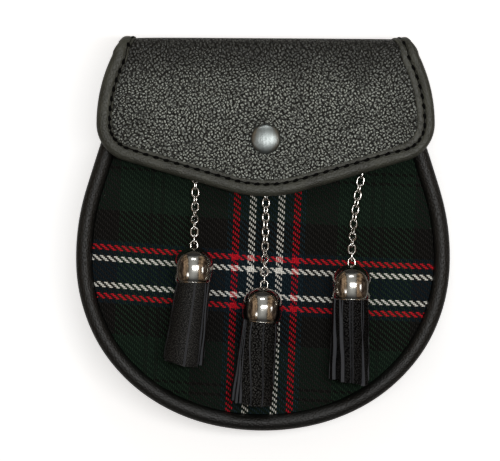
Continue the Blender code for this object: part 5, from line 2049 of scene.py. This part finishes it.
TASSELS = (
    Tassel(
        side=Side.LEFT, cap_top=(-34.9, -6.7), via=(-34.4, 12.0), head=(-33.9, 44.0), lean=1.5, sweep=5.8, links=12,
        twist=18.0, grain=STRIP_FINE,
        strips=(
            Lying((-112, -66), (-112, -71), (55.0, 56.5), 0.0),
            Lying((-66, 8), (-70, 4), (56.2, 60.2), 0.1, 0.36, 0.12),
            Lying((9, 48), (5, 47), (60.3, 60.6), 0.25, 0.36, 0.12),
            Lying((51, 88), (55, 96), (59.0, 59.0), -0.6),
            *round_behind(90.0, 247.0, 5),
        ),
        edges=(Standing((7.6, 9.4), (84.0, 78.0), 4.2, 59.6, 1.4),),
    ),
    Tassel(
        side=Side.CENTRE, cap_top=(0.5, -26.8), via=(1.4, 2.0), head=(1.8, 42.0), lean=4.8, sweep=2.0, links=16,
        twist=30.0, grain=STRIP_COARSE,
        strips=(
            Lying((-84, -33), (-29, -3), (59.6, 60.2), 0.1),
            Lying((-32, 10), (-2, 30), (60.4, 60.6), 0.2),
            Lying((11, 62), (31, 78), (60.4, 59.4), 0.1),
            Lying((64, 112), (80, 118), (58.0, 58.0), 0.0),
            Lying((-112, -86), (-74, -34), (58.6, 58.6), -2.2),
            *round_behind(120.0, 248.0, 4),
        ),
        edges=(
            Standing((-8.5, -9.9), (-82.0, -78.0), 4.6, 58.4, 1.25),
            Standing((-8.0, -7.9), (-82.0, -84.0), 4.6, 59.6, 1.3),
            Standing((-7.4, -6.0), (-80.0, -86.0), 4.6, 59.4, 1.3),
        ),
    ),
    Tassel(
        side=Side.RIGHT, cap_top=(44.7, -15.4), via=(44.9, 14.0), head=(54.2, 46.0), lean=0.5, sweep=1.2, links=14,
        twist=-26.0,
        strips=(
            Lying((-30, -5), (-14, 5), (59.6, 59.8), -0.5),
            Lying((-4, 3), (5, 9), (59.8, 59.9), -0.2),
            Lying((4, 42), (10, 38), (59.9, 60.5), 0.25),
            Lying((43, 84), (46, 84), (60.9, 60.9), -0.3),
            Lying((-88, -32), (-60, -20), (58.0, 58.4), -2.6),
            *round_behind(86.0, 270.0, 5),
        ),
        edges=(
            Standing((-8.2, -8.2), (-80.0, -76.0), 4.8, 58.2, 1.8),
            Standing((-5.5, -3.7), (-84.0, -80.0), 4.8, 59.4, 1.8),
            Standing((5.4, 7.3), (60.0, 78.0), 4.8, 61.3, 2.1),
        ),
    ),
)


# ---------------------------------------------------------------- studio


@dataclass
class Studio:
    """The floor, the light and the camera.

    Attributes:
        centre: Point under the camera, in mm.
        view_width: What the picture's width covers at the front's height.
        distance: From the camera to the front.
        front_height: Height of the front's faces.
    """

    centre: tuple[float, float] = (-6.6, 1.65)
    view_width: float = 253.65 * MM
    distance: float = 2.4
    front_height: float = 36.0 * MM

    def floor(self) -> None:
        """A plain square under the object."""
        reach, level = 6.0, -0.0002
        rings = np.array([[[-reach, -reach, level], [reach, -reach, level]], [[-reach, reach, level], [reach, reach, level]]])
        shape = skin(rings, around=False)
        mesh = bpy.data.meshes.new("floor")
        mesh.from_pydata(shape.points.tolist(), [], [[0, 1, 3, 2]])
        mesh.materials.append(FLOOR.material())
        plane = bpy.data.objects.new("floor", mesh)
        bpy.context.scene.collection.objects.link(plane)

    def world(self) -> None:
        """A dim room: a grey band overhead from front to back, and amber to both sides.

        The colour is read from a ramp over how far sideways a direction points, mottled and streaked by noise.
        """
        world = bpy.data.worlds.new("studio")
        bpy.context.scene.world = world
        world.use_nodes = True
        sheet = NodeSheet(world.node_tree)
        background = world.node_tree.nodes["Background"]
        way = sheet.node("ShaderNodeTexCoord").outputs["Generated"]
        parts = sheet.node("ShaderNodeSeparateXYZ", {0: way})
        sideways = sheet.math("ABSOLUTE", parts.outputs[0])
        mottle = sheet.noise(way, 8.0, 4.0, 0.7).outputs[0]
        aside = sheet.math("MULTIPLY_ADD", mottle, 0.5, sheet.math("SUBTRACT", sideways, 0.25))
        ramp = sheet.node("ShaderNodeValToRGB", {0: aside})
        stops = (
            (0.0, (0.46, 0.47, 0.46)), (0.36, (0.34, 0.34, 0.33)), (0.42, (0.24, 0.23, 0.21)), (0.47, (0.02, 0.015, 0.01)),
            (0.55, (0.33, 0.235, 0.15)), (0.66, (0.17, 0.115, 0.07)), (0.78, (0.27, 0.19, 0.125)), (0.88, (0.02, 0.01, 0.008)),
            (1.0, (0.10, 0.08, 0.06)),
        )
        elements = ramp.color_ramp.elements
        for number, (place, colour) in enumerate(stops):
            stop = elements[number] if number < 2 else elements.new(place)
            stop.position, stop.color = place, (*colour, 1.0)
        blotch = sheet.remap(sheet.noise(way, 4.5, 3.0, 0.6).outputs[0], 0.38, 0.62, 0.15, 2.1)
        blotch = sheet.math("MULTIPLY_ADD", sheet.remap(sideways, 0.4, 0.47), sheet.math("SUBTRACT", blotch, 1.0), 1.0)
        fore = sheet.remap(parts.outputs[1], -0.75, -0.2, 0.15, 1.0)
        back = sheet.remap(parts.outputs[1], 0.84, 0.9, 1.0, 0.1)
        strength = sheet.math("MULTIPLY", sheet.math("MULTIPLY", fore, back), blotch)
        sheet.feed(background.inputs["Color"], ramp.outputs[0])
        sheet.feed(background.inputs["Strength"], strength)

    def lamp(self, name: str, place: tuple[float, float, float], size: tuple[float, float], power: float, colour: Colour = (1.0, 1.0, 1.0)) -> None:
        """A soft panel of light aimed at the object.

        Args:
            name: Its name.
            place: Where it stands, in metres.
            size: Its width and height.
            power: In watts.
            colour: Its colour.
        """
        data = bpy.data.lights.new(name, "AREA")
        data.shape, (data.size, data.size_y), data.energy, data.color = "RECTANGLE", size, power, colour
        lamp = bpy.data.objects.new(name, data)
        bpy.context.scene.collection.objects.link(lamp)
        back = unit(np.array(place) - np.array([0.0, 0.0, self.front_height]))
        side = unit(np.cross([0.0, 1.0, 0.0], back))
        turn = Matrix(np.stack([side, np.cross(back, side), back], 1).tolist())
        lamp.matrix_world = Matrix.Translation(place) @ turn.to_4x4()
        lamp.visible_camera = False

    def camera(self) -> None:
        """Straight above the front, with its long side across the picture."""
        data = bpy.data.cameras.new("camera")
        data.lens = data.sensor_width * self.distance / self.view_width
        data.clip_start, data.clip_end = 0.1, 50.0
        camera = bpy.data.objects.new("camera", data)
        bpy.context.scene.collection.objects.link(camera)
        camera.location = (self.centre[0] * MM, self.centre[1] * MM, self.front_height + self.distance)
        bpy.context.scene.camera = camera

    def build(self) -> None:
        """Set up the floor, the light and the camera."""
        bpy.context.scene.view_settings.view_transform = "Standard"
        self.floor()
        self.world()
        self.lamp("key", (0.26, 0.03, 1.35), (0.8, 0.14), 5.2)
        self.lamp("back", (0.0, 1.02, 1.0), (0.5, 0.1), 2.0)
        self.lamp("left", (-0.62, -0.3, 1.0), (0.18, 0.16), 0.35)
        self.lamp("right", (1.05, -0.1, 0.8), (0.14, 0.14), 0.25)
        self.camera()


def corners(box: tuple[object, object]) -> list[list[float]]:
    """A box's two corners as plain lists."""
    return [[float(value) for value in corner] for corner in box]


def main() -> None:
    """Build the studio and every piece."""
    logging.basicConfig(level=logging.INFO, format="%(name)s %(message)s")
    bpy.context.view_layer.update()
    Studio().build()
    pouch, flap = Pouch(), Flap()
    pouch.build()
    flap.build()
    PressStud().build(flap, pouch)
    BeltLoops().build(pouch)
    for tassel in TASSELS:
        tassel.build(pouch)


if __name__ == "__main__":
    main()
